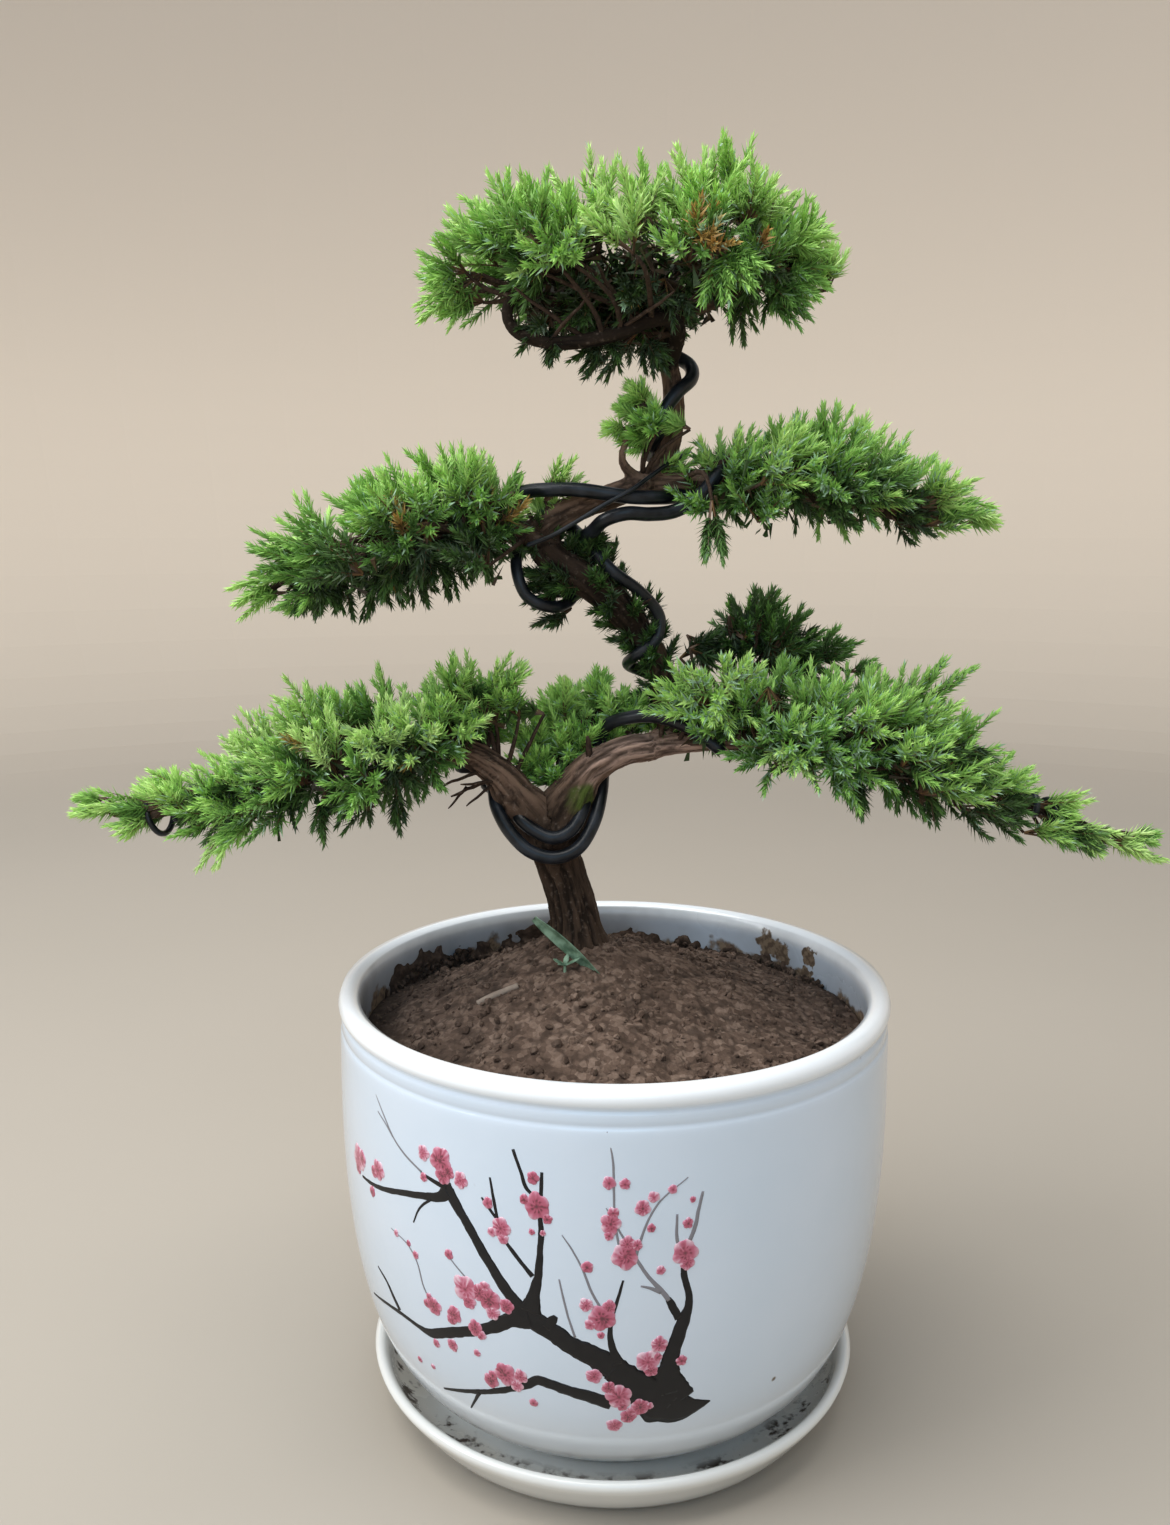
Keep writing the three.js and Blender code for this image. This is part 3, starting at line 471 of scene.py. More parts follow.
def scattered(model, triangles, places, axes, sizes):
    """Copies of a small model, each stretched by its sizes along its own axes and moved to its place."""
    local = model[None] * sizes[:, None, :]
    points = places[:, None] + np.einsum("nvk,nkd->nvd", local, axes)
    faces = triangles[None] + (np.arange(len(places)) * len(model))[:, None, None]
    return points.reshape(-1, 3), [faces.reshape(-1, triangles.shape[1])]


def random_axes(count, rng):
    """Three square unit vectors for each copy, turned at random."""
    a = unit(rng.normal(size=(count, 3)))
    b = unit(np.cross(a, rng.normal(size=(count, 3))))
    return np.stack([a, b, np.cross(a, b)], 1)


def bare_mesh(name, points, faces):
    """A mesh of these points, in mm, and lists of faces, with no looks yet."""
    mesh = bpy.data.meshes.new(name)
    mesh.from_pydata((points * MM).tolist(), [], [row.tolist() for f in faces for row in f])
    return mesh


def linked(name, data):
    """An object of this data, put in the scene."""
    thing = bpy.data.objects.new(name, data)
    bpy.context.scene.collection.objects.link(thing)
    return thing


def volume_sign(points, faces):
    """Sign of the sum of the signed cones from the origin to every face: positive when faces point out."""
    total = 0.0
    for f in faces:
        total += np.einsum("ij,ij->i", points[f[:, 0]], np.cross(points[f[:, 1]], points[f[:, 2]])).sum()
        if f.shape[1] == 4:
            total += np.einsum("ij,ij->i", points[f[:, 0]], np.cross(points[f[:, 2]], points[f[:, 3]])).sum()
    return np.sign(total)


def add_piece(name, shape, look, stands_for=(), smooth=True, values=None, places=None):
    """Makes the mesh object, rides it on the root and hides the CAD nodes it stands for.

    Points in mm become metres. Values are a number or a vector a point, and places are a map place a corner.
    """
    points, faces = shape
    if volume_sign(points - points.mean(0), faces) < 0:
        faces = [f[:, ::-1] for f in faces]
        places = None if places is None else places.reshape(-1, faces[0].shape[1], 2)[:, ::-1].reshape(-1, 2)
    corners = np.concatenate([f.ravel() for f in faces])
    counts = np.concatenate([np.full(len(f), f.shape[1]) for f in faces])
    mesh = bpy.data.meshes.new(name)
    mesh.vertices.add(len(points))
    mesh.vertices.foreach_set("co", (points * MM).astype(np.float32).ravel())
    mesh.loops.add(len(corners))
    mesh.loops.foreach_set("vertex_index", corners.astype(np.int32))
    mesh.polygons.add(len(counts))
    starts = np.concatenate([[0], np.cumsum(counts)[:-1]])
    mesh.polygons.foreach_set("loop_start", starts.astype(np.int32))
    mesh.update(calc_edges=True)
    mesh.polygons.foreach_set("use_smooth", np.full(len(counts), smooth))
    for key, numbers in (values or {}).items():
        kind = "FLOAT" if numbers.ndim == 1 else "FLOAT_VECTOR"
        field = mesh.attributes.new(key, kind, "POINT")
        field.data.foreach_set("value" if kind == "FLOAT" else "vector", numbers.astype(np.float32).ravel())
    if places is not None:
        layer = mesh.uv_layers.new(name="OFBake")
        layer.uv.foreach_set("vector", places.astype(np.float32).ravel())
    mesh.update()
    mesh.materials.append(look)
    piece = linked(name, mesh)
    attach(piece, "root")
    if stands_for:
        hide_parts(*stands_for)


# Materials


class Flow:
    """One output socket of a material. Arithmetic on it adds Math nodes, and node() adds any other node."""

    def __init__(self, tree, socket=None):
        self.tree = tree
        self.socket = socket

    def node(self, kind, settings=None, sockets=None, out=0):
        made = self.tree.nodes.new(kind)
        for key, value in (settings or {}).items():
            if key == "stops":
                ramp = made.color_ramp
                while len(ramp.elements) < len(value):
                    ramp.elements.new(0.5)
                for stop, (position, colour) in zip(ramp.elements, value):
                    stop.position = position
                    stop.color = (*colour, 1)
            else:
                setattr(made, key, value)
        for key, value in (sockets or {}).items():
            if isinstance(value, Flow):
                self.tree.links.new(value.socket, made.inputs[key])
            else:
                made.inputs[key].default_value = value
        return Flow(self.tree, made.outputs[out])

    def math(self, operation, a, b=0.0):
        return self.node("ShaderNodeMath", {"operation": operation}, {0: a, 1: b})

    def __add__(self, other):
        return self.math("ADD", self, other)

    def __radd__(self, other):
        return self.math("ADD", other, self)

    def __sub__(self, other):
        return self.math("SUBTRACT", self, other)

    def __rsub__(self, other):
        return self.math("SUBTRACT", other, self)

    def __mul__(self, other):
        return self.math("MULTIPLY", self, other)

    def __rmul__(self, other):
        return self.math("MULTIPLY", other, self)

    def rise(self, low, high):
        """0 below low, 1 above high, smooth between."""
        settings = {"interpolation_type": "SMOOTHSTEP", "clamp": True}
        return self.node("ShaderNodeMapRange", settings, {0: self, 1: low, 2: high, 3: 0.0, 4: 1.0})

    def past(self, low, high):
        """0 below low, 1 above high, for a length and two limits in millimetres."""
        return self.rise(low * MM, high * MM)

    def vector(self, operation, other=(0, 0, 0), out="Vector"):
        return self.node("ShaderNodeVectorMath", {"operation": operation}, {0: self, 1: other}, out)

    def part(self, axis):
        """One of a vector's three numbers."""
        return self.node("ShaderNodeSeparateXYZ", {}, {0: self}, axis)

    def from_axis(self):
        """Distance of a place from the upright axis of the pot."""
        return self.vector("MULTIPLY", (1, 1, 0)).vector("LENGTH", out="Value")

    def cells(self, scale, out):
        """Voronoi texture at this many cells a metre."""
        return self.node("ShaderNodeTexVoronoi", {"feature": "F1"}, {"Vector": self, "Scale": scale}, out)

    def tint(self, a, b, share):
        """Colour a mixed with colour b by share."""
        settings = {"data_type": "RGBA", "blend_type": "MIX", "clamp_factor": True}
        a, b = (v if isinstance(v, Flow) else (*v, 1) for v in (a, b))
        return self.node("ShaderNodeMix", settings, {0: share, 6: a, 7: b}, 2)

    def grains(self, place, scale, detail=3):
        """Noise texture at this many lumps a metre."""
        return self.node("ShaderNodeTexNoise", {}, {"Vector": place, "Scale": scale, "Detail": detail}, "Fac")

    def attribute(self, name, out="Fac"):
        return self.node("ShaderNodeAttribute", {"attribute_name": name}, out=out)

    def ramp(self, stops):
        return self.node("ShaderNodeValToRGB", {"stops": stops}, {0: self}, "Color")

    def bumped(self, height, strength, distance):
        sockets = {"Height": height, "Strength": strength, "Distance": distance}
        return self.node("ShaderNodeBump", {}, sockets, "Normal")


def new_look(name):
    """An empty material: its Flow, its Principled shader's inputs and the Object coordinates in metres."""
    look = bpy.data.materials.new(name)
    look.use_nodes = True
    start = Flow(look.node_tree)
    shader = look.node_tree.nodes["Principled BSDF"]
    place = start.node("ShaderNodeTexCoord", out="Object")
    return look, start, shader, place


def feed(start, shader, **links):
    """Links or sets the shader's sockets; underscores stand for spaces."""
    for key, value in links.items():
        socket = shader.inputs[key.replace("_", " ")]
        if isinstance(value, Flow):
            start.tree.links.new(value.socket, socket)
        elif isinstance(value, tuple):
            socket.default_value = (*value, 1)
        else:
            socket.default_value = value


def plain_glaze(name, tones, specks):
    """White glaze with a faint mottle and iron specks: the look's parts, its colour and its roughness.

    Specks are the dots' number a metre and how rare they are.
    """
    look, start, shader, place = new_look(name)
    mottle = start.grains(place, 38, 4)
    colour = start.tint(*tones, mottle)
    many, rare = specks
    chosen = start.grains(place, 60, 1).rise(rare, rare + 0.06)
    speck = (1 - place.cells(many, "Distance").rise(0.05, 0.11)) * chosen
    colour = start.tint(colour, (0.16, 0.12, 0.09), speck)
    return look, start, shader, place, colour, 0.12 + 0.1 * mottle


def fire(start, shader, place, colour, rough):
    """Ends a glaze: its colour and roughness, a slow ripple and a clear coat."""
    ripple = start.grains(place, 16, 2) + 0.15 * start.grains(place, 260, 2)
    feed(start, shader, Base_Color=colour, Roughness=rough, Normal=start.bumped(ripple, 0.25, 0.0006))
    feed(start, shader, Coat_Weight=0.5, Coat_Roughness=0.06, Specular_IOR_Level=0.5)


def saucer_look():
    """Glaze with dried water and painted warm shade in the trough, and crumbs of dirt there, on its upper
    side only.
    """
    tones = (0.76, 0.76, 0.73), (0.83, 0.83, 0.80)
    look, start, shader, place, colour, rough = plain_glaze("saucer_glaze", tones, (80.0, 0.50))
    reach = place.from_axis()
    low, high = TROUGH_RADII
    band = reach.past(low, low + 6) * (1 - reach.past(high - 3, high))
    middle_of_wall = start.math("MAXIMUM", reach - 70 * MM) * 0.95 + 3 * MM
    band = band * (place.part("Z") - middle_of_wall).past(0, 1)
    dirt = (start.grains(place, 110, 5) + 0.5 * start.grains(place, 420, 2)).rise(0.74, 0.90) * band
    # A layer of dried water that is also painted warm shade in the trough
    film_and_painted_shade = (0.35 + 0.65 * start.grains(place, 60, 3).rise(0.35, 0.75)) * band * 0.5
    colour = start.tint(colour, (0.66, 0.57, 0.44), film_and_painted_shade)
    colour = start.tint(colour, (0.060, 0.038, 0.024), dirt)
    fire(start, shader, place, colour, rough + 0.5 * dirt + 0.3 * film_and_painted_shade)
    return look


def pot_look():
    """Glaze with painted warm shade at the foot and painted light on the lip, with dusty patches, painted
    shade and smeared mud on the wall inside.
    """
    tones = (0.63, 0.73, 0.84), (0.705, 0.78, 0.885)
    look, start, shader, place, colour, rough = plain_glaze("white_glaze", tones, (95.0, 0.62))
    height = place.part("Z")
    # Painted shade: the glaze is warmer and darker towards the foot
    colour = start.tint(colour, (0.70, 0.66, 0.58), 0.55 * (1 - height.past(*FOOT_PAINTED_SHADE)))
    # Painted shade: a grey line that stands for a groove above the foot
    below, middle, above = FOOT_GROOVE_SHADE
    line = height.past(below, middle) * (1 - height.past(middle, above))
    colour = start.tint(colour, (0.42, 0.42, 0.42), 0.35 * line)
    # Painted light: the lip is tinted nearly white
    colour = start.tint(colour, (0.93, 0.955, 0.98), 0.9 * height.past(*LIP_PAINTED_LIGHT))

    inside = (1 - place.from_axis().past(*INNER_WALL)) * height.past(110, 118)
    smear = start.grains(place, 70, 5) + 0.35 * (1 - height.past(124, 139))
    smear = smear.rise(0.70, 0.80) * inside
    for spot, size in MUD_SMEARS:
        ragged = place.vector("DISTANCE", spot, "Value") + (start.grains(place, 260, 5) - 0.5) * 0.010
        smear = start.math("MAXIMUM", smear, (1 - ragged.rise(0.8 * size, size)) * inside)
    # Dusty patches, plus painted shade on the inner wall at the back and below the lip; darker towards the
    # left
    west = 1 - place.part("X").past(-20, 45)
    rear_painted_shade = place.part("Y").past(66, 80)
    low = 1 - height.past(128, 141)
    dust_and_painted_shade = 0.15 + 0.5 * start.grains(place, 45, 4).rise(0.3, 0.8)
    dust_and_painted_shade = (dust_and_painted_shade + 0.5 * west + 0.3 * low + 0.35 * rear_painted_shade) * inside * 0.68
    colour = start.tint(colour, (0.235, 0.25, 0.275), dust_and_painted_shade)
    colour = start.tint(colour, (0.10, 0.066, 0.042), smear)
    colour = start.tint(colour, (0.22, 0.155, 0.10), smear * start.grains(place, 520, 3).rise(0.4, 0.6))
    fire(start, shader, place, colour, rough + 0.6 * smear + 0.3 * dust_and_painted_shade)
    return look


def soil_look():
    """Dry loam: painted light on crumb tops, painted shade in crevices, between crumbs and towards the left,
    and the colour of each crumb a little its own.
    """
    look, start, shader, place = new_look("loam")
    fine = start.grains(place, 900, 3)
    own = start.node("ShaderNodeSeparateColor", {}, {0: place.cells(520.0, "Color")}, 0)
    # Painted light: crumbs are paler where their bump is high; the rest of the tone varies at random
    light = 0.45 * start.grains(place, 45, 3) + 0.25 * fine + 0.3 * own
    colour = light.ramp([
        (0.25, (0.056, 0.035, 0.025)),
        (0.50, (0.132, 0.086, 0.063)),
        (0.75, (0.270, 0.190, 0.146)),
    ])
    # Painted shade between the crumbs
    colour = start.tint(colour, (0.050, 0.032, 0.023), 0.75 * place.cells(330.0, "Distance").rise(0.50, 0.80))
    # Painted shade in crevices and by the wall on the heap; on loose crumbs and caked soil a random darkening
    colour = start.tint(colour, (0.026, 0.017, 0.012), start.attribute("pit"))
    # Painted shade towards the left of the heap
    colour = start.tint(colour, (0.045, 0.032, 0.026), 0.38 * (1 - place.part("X").past(-75, 0)))
    height = fine + 0.6 * own
    feed(start, shader, Base_Color=colour, Roughness=0.95, Normal=start.bumped(height, 0.7, 0.0006))
    feed(start, shader, Specular_IOR_Level=0.2)
    return look


def bark_look(name):
    """Shaggy bark: the wood's own point colours, with fine fibres drawn along each limb."""
    look, start, shader, place = new_look(name)
    hue = start.attribute("hue", "Vector")
    fibre = start.grains(start.attribute("grain", "Vector"), 900, 4)
    fleck = start.grains(place, 600, 3)
    lighter = start.tint(hue, start.tint(hue, (0.62, 0.47, 0.38), 0.22), fleck.rise(0.55, 0.85))
    colour = start.tint(lighter, (0.02, 0.013, 0.009), 0.75 * (1 - fibre.rise(0.3, 0.55)))
    height = fibre + 0.5 * fleck
    feed(start, shader, Base_Color=colour, Roughness=0.9, Normal=start.bumped(height, 0.6, 0.0007))
    feed(start, shader, Specular_IOR_Level=0.15)
    return look


def needle_look():
    """Juniper needles: the map's first number picks the colour and its second runs from root to point.

    The picks run from dead browns and oranges over the pale bloom to living greens, from dark to bright; the
    living greens are painted shade at the dark end and painted light at the bright end.
    """
    look, start, shader, _ = new_look("needles")
    spot = start.node("ShaderNodeUVMap", {"uv_map": "OFBake"})
    colour = spot.part("X").ramp([
        (0.00, (0.040, 0.022, 0.013)),
        (0.10, (0.120, 0.065, 0.035)),
        (0.18, (0.540, 0.300, 0.090)),
        (0.26, (0.480, 0.330, 0.085)),
        (0.29, (0.420, 0.620, 0.420)),
        (0.32, (0.420, 0.620, 0.420)),
        (0.35, (0.030, 0.050, 0.016)),
        (0.50, (0.085, 0.185, 0.042)),
        (0.64, (0.190, 0.400, 0.080)),
        (0.78, (0.360, 0.650, 0.145)),
        (0.90, (0.520, 0.820, 0.210)),
        (1.00, (0.660, 0.900, 0.330)),
    ])
    # Painted shade: darker towards each needle's root
    colour = start.tint(colour, (0.02, 0.035, 0.01), 0.6 * (1 - spot.part("Y").rise(0.0, 0.7)))
    feed(start, shader, Base_Color=colour, Roughness=0.5, Specular_IOR_Level=0.35)
    return look


def wire_look():
    """Black anodised training wire, rubbed duller in places."""
    look, start, shader, place = new_look("training_wire")
    worn = start.grains(place, 160, 5)
    colour = start.tint((0.004, 0.005, 0.007), (0.020, 0.024, 0.032), worn.rise(0.35, 0.75))
    scratches = start.bumped(start.grains(place, 900, 2), 0.2, 0.0002)
    feed(start, shader, Base_Color=colour, Roughness=0.24 + 0.2 * worn, Normal=scratches)
    feed(start, shader, Specular_IOR_Level=0.35)
    return look


def leaf_look():
    """Dusty green leaf, lighter and darker in streaks."""
    look, start, shader, place = new_look("leaf_green")
    shade = start.grains(place, 300, 4)
    colour = start.tint((0.075, 0.14, 0.085), (0.26, 0.40, 0.28), shade.rise(0.3, 0.7))
    feed(start, shader, Base_Color=colour, Roughness=0.55, Normal=start.bumped(shade, 0.3, 0.0004))
    return look


def straw_look():
    """Dry grey-brown stalk."""
    look, start, shader, place = new_look("dry_stalk")
    shade = start.grains(place, 500, 4)
    colour = start.tint((0.15, 0.11, 0.085), (0.36, 0.29, 0.23), shade)
    feed(start, shader, Base_Color=colour, Roughness=0.8, Normal=start.bumped(shade, 0.5, 0.0004))
    return look


# Pottery


def fine_outline(outline, spacing):
    """The outline as a smooth curve, with a point about every spacing along it."""
    flat = [(radius, height, 0) for radius, height in outline]
    return smooth_line(flat, spacing)[:, :2]


def add_pot():
    """The pot's outline carried round; its last ring meets its first, so the wall is one closed ring."""
    outline = fine_outline([*POT_OUTSIDE, *POT_INSIDE, POT_OUTSIDE[0]], 0.65)[:-1]
    grooves = (outline[:, 0] > GROOVES_RADIUS) & (np.abs(outline[:, 1] - GROOVES_Z) < GROOVES_REACH)
    outline = outline[grooves | (np.arange(len(outline)) % 5 == 0)]
    rings = turned(outline, POT_SIDES)
    number = np.arange(len(rings))[:, None]
    ring, after = number * POT_SIDES, (number + 1) % len(rings) * POT_SIDES
    k = np.arange(POT_SIDES)[None, :]
    step = (k + 1) % POT_SIDES
    quads = np.stack([ring + k, ring + step, after + step, after + k], -1).reshape(-1, 4)
    add_piece("glazed_pot", (rings.reshape(-1, 3), [quads]), pot_look(), ["pot"])


def add_saucer():
    """The saucer's outline carried round, from the middle below, over the rim, to the middle above."""
    rings = turned(fine_outline(SAUCER_OUTLINE, 2.2), SAUCER_SIDES)
    shape = with_poles(rings), skin_faces(*rings.shape[:2])
    add_piece("glazed_saucer", shape, saucer_look(), ["saucer"])


def on_glaze(outline, angle, run, lift):
    """Points of the pot's outside at this angle and this far along its outline, lifted off the glaze."""
    slope = np.gradient(outline, axis=0)
    length = run_along(outline)
    radius = np.interp(run, length, outline[:, 0])
    height = np.interp(run, length, outline[:, 1])
    out = np.stack([np.interp(run, length, slope[:, 1]), -np.interp(run, length, slope[:, 0])], -1)
    out = unit(out) * np.broadcast_to(lift, angle.shape)[..., None]
    radius, height = radius + out[..., 0], height + out[..., 1]
    return np.stack([radius * np.cos(angle), radius * np.sin(angle), height], -1)


def brush_stroke(outline, run_at, rows, lift, seed):
    """A flat closed bar on the glaze: across the stroke, six points from edge to edge and one sunk below."""
    table = np.array(rows, float)
    table[:, 0] = np.radians(table[:, 0]) * GLAZE_RADIUS
    table = np.column_stack([table[:, 0], run_at(table[:, 1]), 0 * table[:, 0], table[:, 2]])
    line = smooth_line(table, 0.7)
    flat = np.column_stack([line[:, :2], np.full(len(line), 10.0 * seed)])
    along = unit(np.gradient(line[:, :2], axis=0))
    half = line[:, 3] / 2
    ragged = 0.16 + 0.24 * cloud(flat, 2.2, 3, seed)
    ragged_too = 0.16 + 0.24 * cloud(flat + 40, 2.2, 3, seed)
    left, right = half * (0.92 + ragged), half * (0.92 + ragged_too)
    across = np.array([1, 0.7, 0.25, -0.25, -0.7, -1, 0])
    level = np.array([0.02, 1, 1.1, 1.1, 1, 0.02, -2.0]) * lift
    wide = np.where(across > 0, left[:, None], right[:, None]) * across
    angle = (line[:, :1] - wide * along[:, 1:]) / GLAZE_RADIUS
    run = line[:, 1:2] + wide * along[:, :1]
    points = on_glaze(outline, angle, run, np.broadcast_to(level, angle.shape))
    return with_poles(points), skin_faces(len(line), 7)


def blossom(outline, run_at, row, rng):
    """A five-petalled disc on the glaze: its edge swells by |cos 2.5a|, and rings and rays give its tone."""
    angle, height, size = row
    size = 1.18 * size
    rings, sides = (7, 30) if size > 2.4 else (5, 20)
    share = np.linspace(1, 0.06, rings)[:, None]
    turn = np.linspace(0, 2 * np.pi, sides, endpoint=False)[None, :]
    spin = rng.uniform(0, 2 * np.pi)
    petals = np.abs(np.cos(2.5 * (turn - spin)))
    edge = 0.74 + 0.26 * petals**0.6 + 0.05 * np.sin(3 * turn + spin * 2)
    squash = rng.uniform(0.82, 1.0)
    reach = size * share * blend(1, edge, share)
    x = reach * np.cos(turn) * squash
    y = reach * np.sin(turn)
    lift = 0.16 + 0.1 * (1 - share**2) + 0 * turn
    lift[0] = -0.2
    points = on_glaze(outline, np.radians(angle) + x / GLAZE_RADIUS, run_at(height) + y, lift)
    rays = (1 - petals) ** 3
    tone = 0.30 + 0.72 * share**1.5 - 0.5 * rays * ease(share, 0.3, 0.7) + 0.13 * rng.normal(size=(1, sides))
    stamens = np.cos(9 * turn + spin) > 0.2
    tone = np.where((share > 0.3) & (share < 0.48) & stamens & (size > 2), 0.02, tone)
    tone = np.where(share < 0.18, 0.0, tone)
    tone = tone + rng.uniform(-0.15, 0.2)
    values = np.concatenate([tone.ravel(), [tone.mean()], [0.0]])
    return with_poles(points), skin_faces(rings, sides), np.clip(values, 0, 1)


def ink_look():
    """Black brushed ink, a little washed out, and grey where the tone is high."""
    look, start, shader, place = new_look("brushed_ink")
    wash = start.grains(place, 380, 4)
    dark = start.tint((0.003, 0.003, 0.004), (0.014, 0.013, 0.014), wash)
    colour = start.tint(dark, (0.30, 0.29, 0.32), start.attribute("tone"))
    feed(start, shader, Base_Color=colour, Roughness=0.42 + 0.1 * wash, Specular_IOR_Level=0.3)
    return look


def petal_look():
    """Pink enamel, from a dark heart to pale edges by the tone, with a wash over it."""
    look, start, shader, place = new_look("blossom_pink")
    mixed = start.attribute("tone") + 0.5 * (start.grains(place, 500, 4) - 0.5)
    colour = mixed.ramp([
        (0.00, (0.13, 0.028, 0.045)),
        (0.30, (0.40, 0.070, 0.125)),
        (0.60, (0.52, 0.135, 0.215)),
        (0.85, (0.64, 0.300, 0.400)),
        (1.00, (0.76, 0.520, 0.600)),
    ])
    feed(start, shader, Base_Color=colour, Roughness=0.3, Coat_Weight=0.3)
    return look


def add_ornament():
    """The plum branch in flat bars of ink, and its blossoms in thin discs a little proud of the glaze."""
    outline = fine_outline(POT_OUTSIDE[:11], 0.8)
    length = run_along(outline)

    def run_at(height):
        return np.interp(height, outline[:, 1], length)

    strokes, tones = [], []
    for number, rows in enumerate([*INK_LIMBS, *GREY_TWIGS]):
        lift = 0.07 + 0.002 * (number % 9)
        stroke = brush_stroke(outline, run_at, rows, lift, number + 1)
        strokes.append(stroke)
        tones.append(np.full(len(stroke[0]), 0.0 if number < len(INK_LIMBS) else 0.75))
    values = {"tone": np.concatenate(tones)}
    add_piece("plum_branch", joined(strokes), ink_look(), values=values)

    rng = np.random.default_rng(9)
    rows = list(BLOSSOMS)
    for angle, height, size in [row for row in BLOSSOMS if row[2] > 2.7]:
        for _ in range(2):
            turn = rng.uniform(0, 2 * np.pi)
            far = rng.uniform(0.8, 1.15) * size
            small = rng.uniform(0.4, 0.65) * size
            beside = angle + math.degrees(far * math.cos(turn) / GLAZE_RADIUS)
            rows.append((beside, height + far * math.sin(turn), small))
    discs = [blossom(outline, run_at, row, rng) for row in rows]
    values = {"tone": np.concatenate([disc[2] for disc in discs])}
    add_piece("plum_blossoms", joined([disc[:2] for disc in discs]), petal_look(), values=values)


# Soil


def soil_height(x, y):
    """Heap round the trunk: the rise from wall to trunk times the share of the way there, to a power."""
    from_trunk = np.hypot(x - MOUND[0], y - MOUND[1])
    from_wall = np.maximum(HEAP_EDGE - np.hypot(x, y), 0)
    towards = from_wall / (from_trunk + from_wall)
    return SOIL_WALL_Z + (SOIL_PEAK_Z - SOIL_WALL_Z) * towards**MOUND_SLUMP


def soil_relief(x, y):
    """Height of the crumbs over the heap, and painted shade that grows with how deep in a crevice each point
    is.
    """
    flat = np.stack([x, y, 0 * x], 1)
    warp = np.stack([cloud(flat, 3.4, 2, 5 + k) for k in range(2)], 1)
    x, y = x + 1.9 * warp[:, 0], y + 1.9 * warp[:, 1]
    coarse = crumbs_height(x, y, 5.4, 11)
    middle = crumbs_height(x, y, 2.9, 12)
    fine = crumbs_height(x, y, 1.5, 13)
    cover = ease(cloud(flat, 13, 3, 14), -0.35, 0.3)
    relief = 1.9 * cloud(flat, 20, 3, 15) + 1.5 * cover * coarse + 1.0 * middle + 0.5 * fine
    depth = 0.45 * cover * coarse + 0.35 * middle + 0.2 * fine + 0.25 * cloud(flat, 4, 3, 16)
    return relief - 1.6, 0.9 * ease(depth, 0.6, 0.14)


ICO = (1 + 5**0.5) / 2
LUMP_POINTS = unit(np.array([
    (-1, ICO, 0), (1, ICO, 0), (-1, -ICO, 0), (1, -ICO, 0), (0, -1, ICO), (0, 1, ICO),
    (0, -1, -ICO), (0, 1, -ICO), (ICO, 0, -1), (ICO, 0, 1), (-ICO, 0, -1), (-ICO, 0, 1),
]))
LUMP_FACES = np.array([
    (0, 11, 5), (0, 5, 1), (0, 1, 7), (0, 7, 10), (0, 10, 11), (1, 5, 9), (5, 11, 4), (11, 10, 2),
    (10, 7, 6), (7, 1, 8), (3, 9, 4), (3, 4, 2), (3, 2, 6), (3, 6, 8), (3, 8, 9), (4, 9, 5), (2, 4, 11),
    (6, 2, 10), (8, 6, 7), (9, 8, 1),
])


def crumbs(places, sizes, rng):
    """Twenty-sided lumps, each with its corners pulled in or out by up to a third."""
    count = len(places)
    stretch = sizes[:, None] * rng.uniform(0.6, 1.2, (count, 3))
    points, faces = scattered(LUMP_POINTS, LUMP_FACES, places, random_axes(count, rng), stretch)
    middle = np.repeat(places, len(LUMP_POINTS), 0)
    points = middle + (points - middle) * rng.uniform(0.68, 1.1, (len(points), 1))
    return points, faces


def stuck_sheet(low, high, reach, seed):
    """Soil caked on the wall between two angles.

    How thick it is at a point grows with the height left up to a wavy top, plus noise, so that its edge is
    ragged with loose islands. Where it comes to nothing the skin lies inside the wall.
    """
    turn = np.radians(np.arange(low, high, 0.4))
    flat = np.stack([WALL_RUN * turn, 0 * turn, 0 * turn + seed], 1)
    fade = ease(turn, turn[0], turn[0] + 0.15) * (1 - ease(turn, turn[-1] - 0.1, turn[-1]))
    top = SOIL_WALL_Z + 1 + reach * fade * np.clip(0.75 + 0.5 * cloud(flat, 17, 2, seed), 0.1, 1)
    level = np.broadcast_to(np.linspace(SOIL_WALL_Z - 2, 138, 18), (len(turn), 18))
    run = np.broadcast_to(WALL_RUN * turn[:, None], level.shape)
    spot = np.stack([run, level, 0 * level + 3.3 * seed], -1).reshape(-1, 3)
    rough = cloud(spot, 5, 3, seed + 9).reshape(level.shape)
    fine = cloud(spot, 2, 2, seed + 3).reshape(level.shape)
    left = (top[:, None] - level) / 5 + 1.5 * rough
    thick = 1.7 * ease(left, 0, 1.4) * (0.75 + 0.5 * fine) - 0.25
    back = np.full((len(turn), 2), WALL_CORE)
    radius = np.concatenate([WALL_FACE - thick, back], 1)
    height = np.concatenate([level, level[:, -1:], level[:, :1]], 1)
    rings = np.stack([radius * np.cos(turn)[:, None], radius * np.sin(turn)[:, None], height], -1)
    dark = np.concatenate([0.6 - 0.5 * fine - 0.3 * rough, back / 200], 1).ravel()
    return with_poles(rings), skin_faces(*rings.shape[:2]), np.clip(np.append(dark, [0.5, 0.5]), 0.1, 0.9)


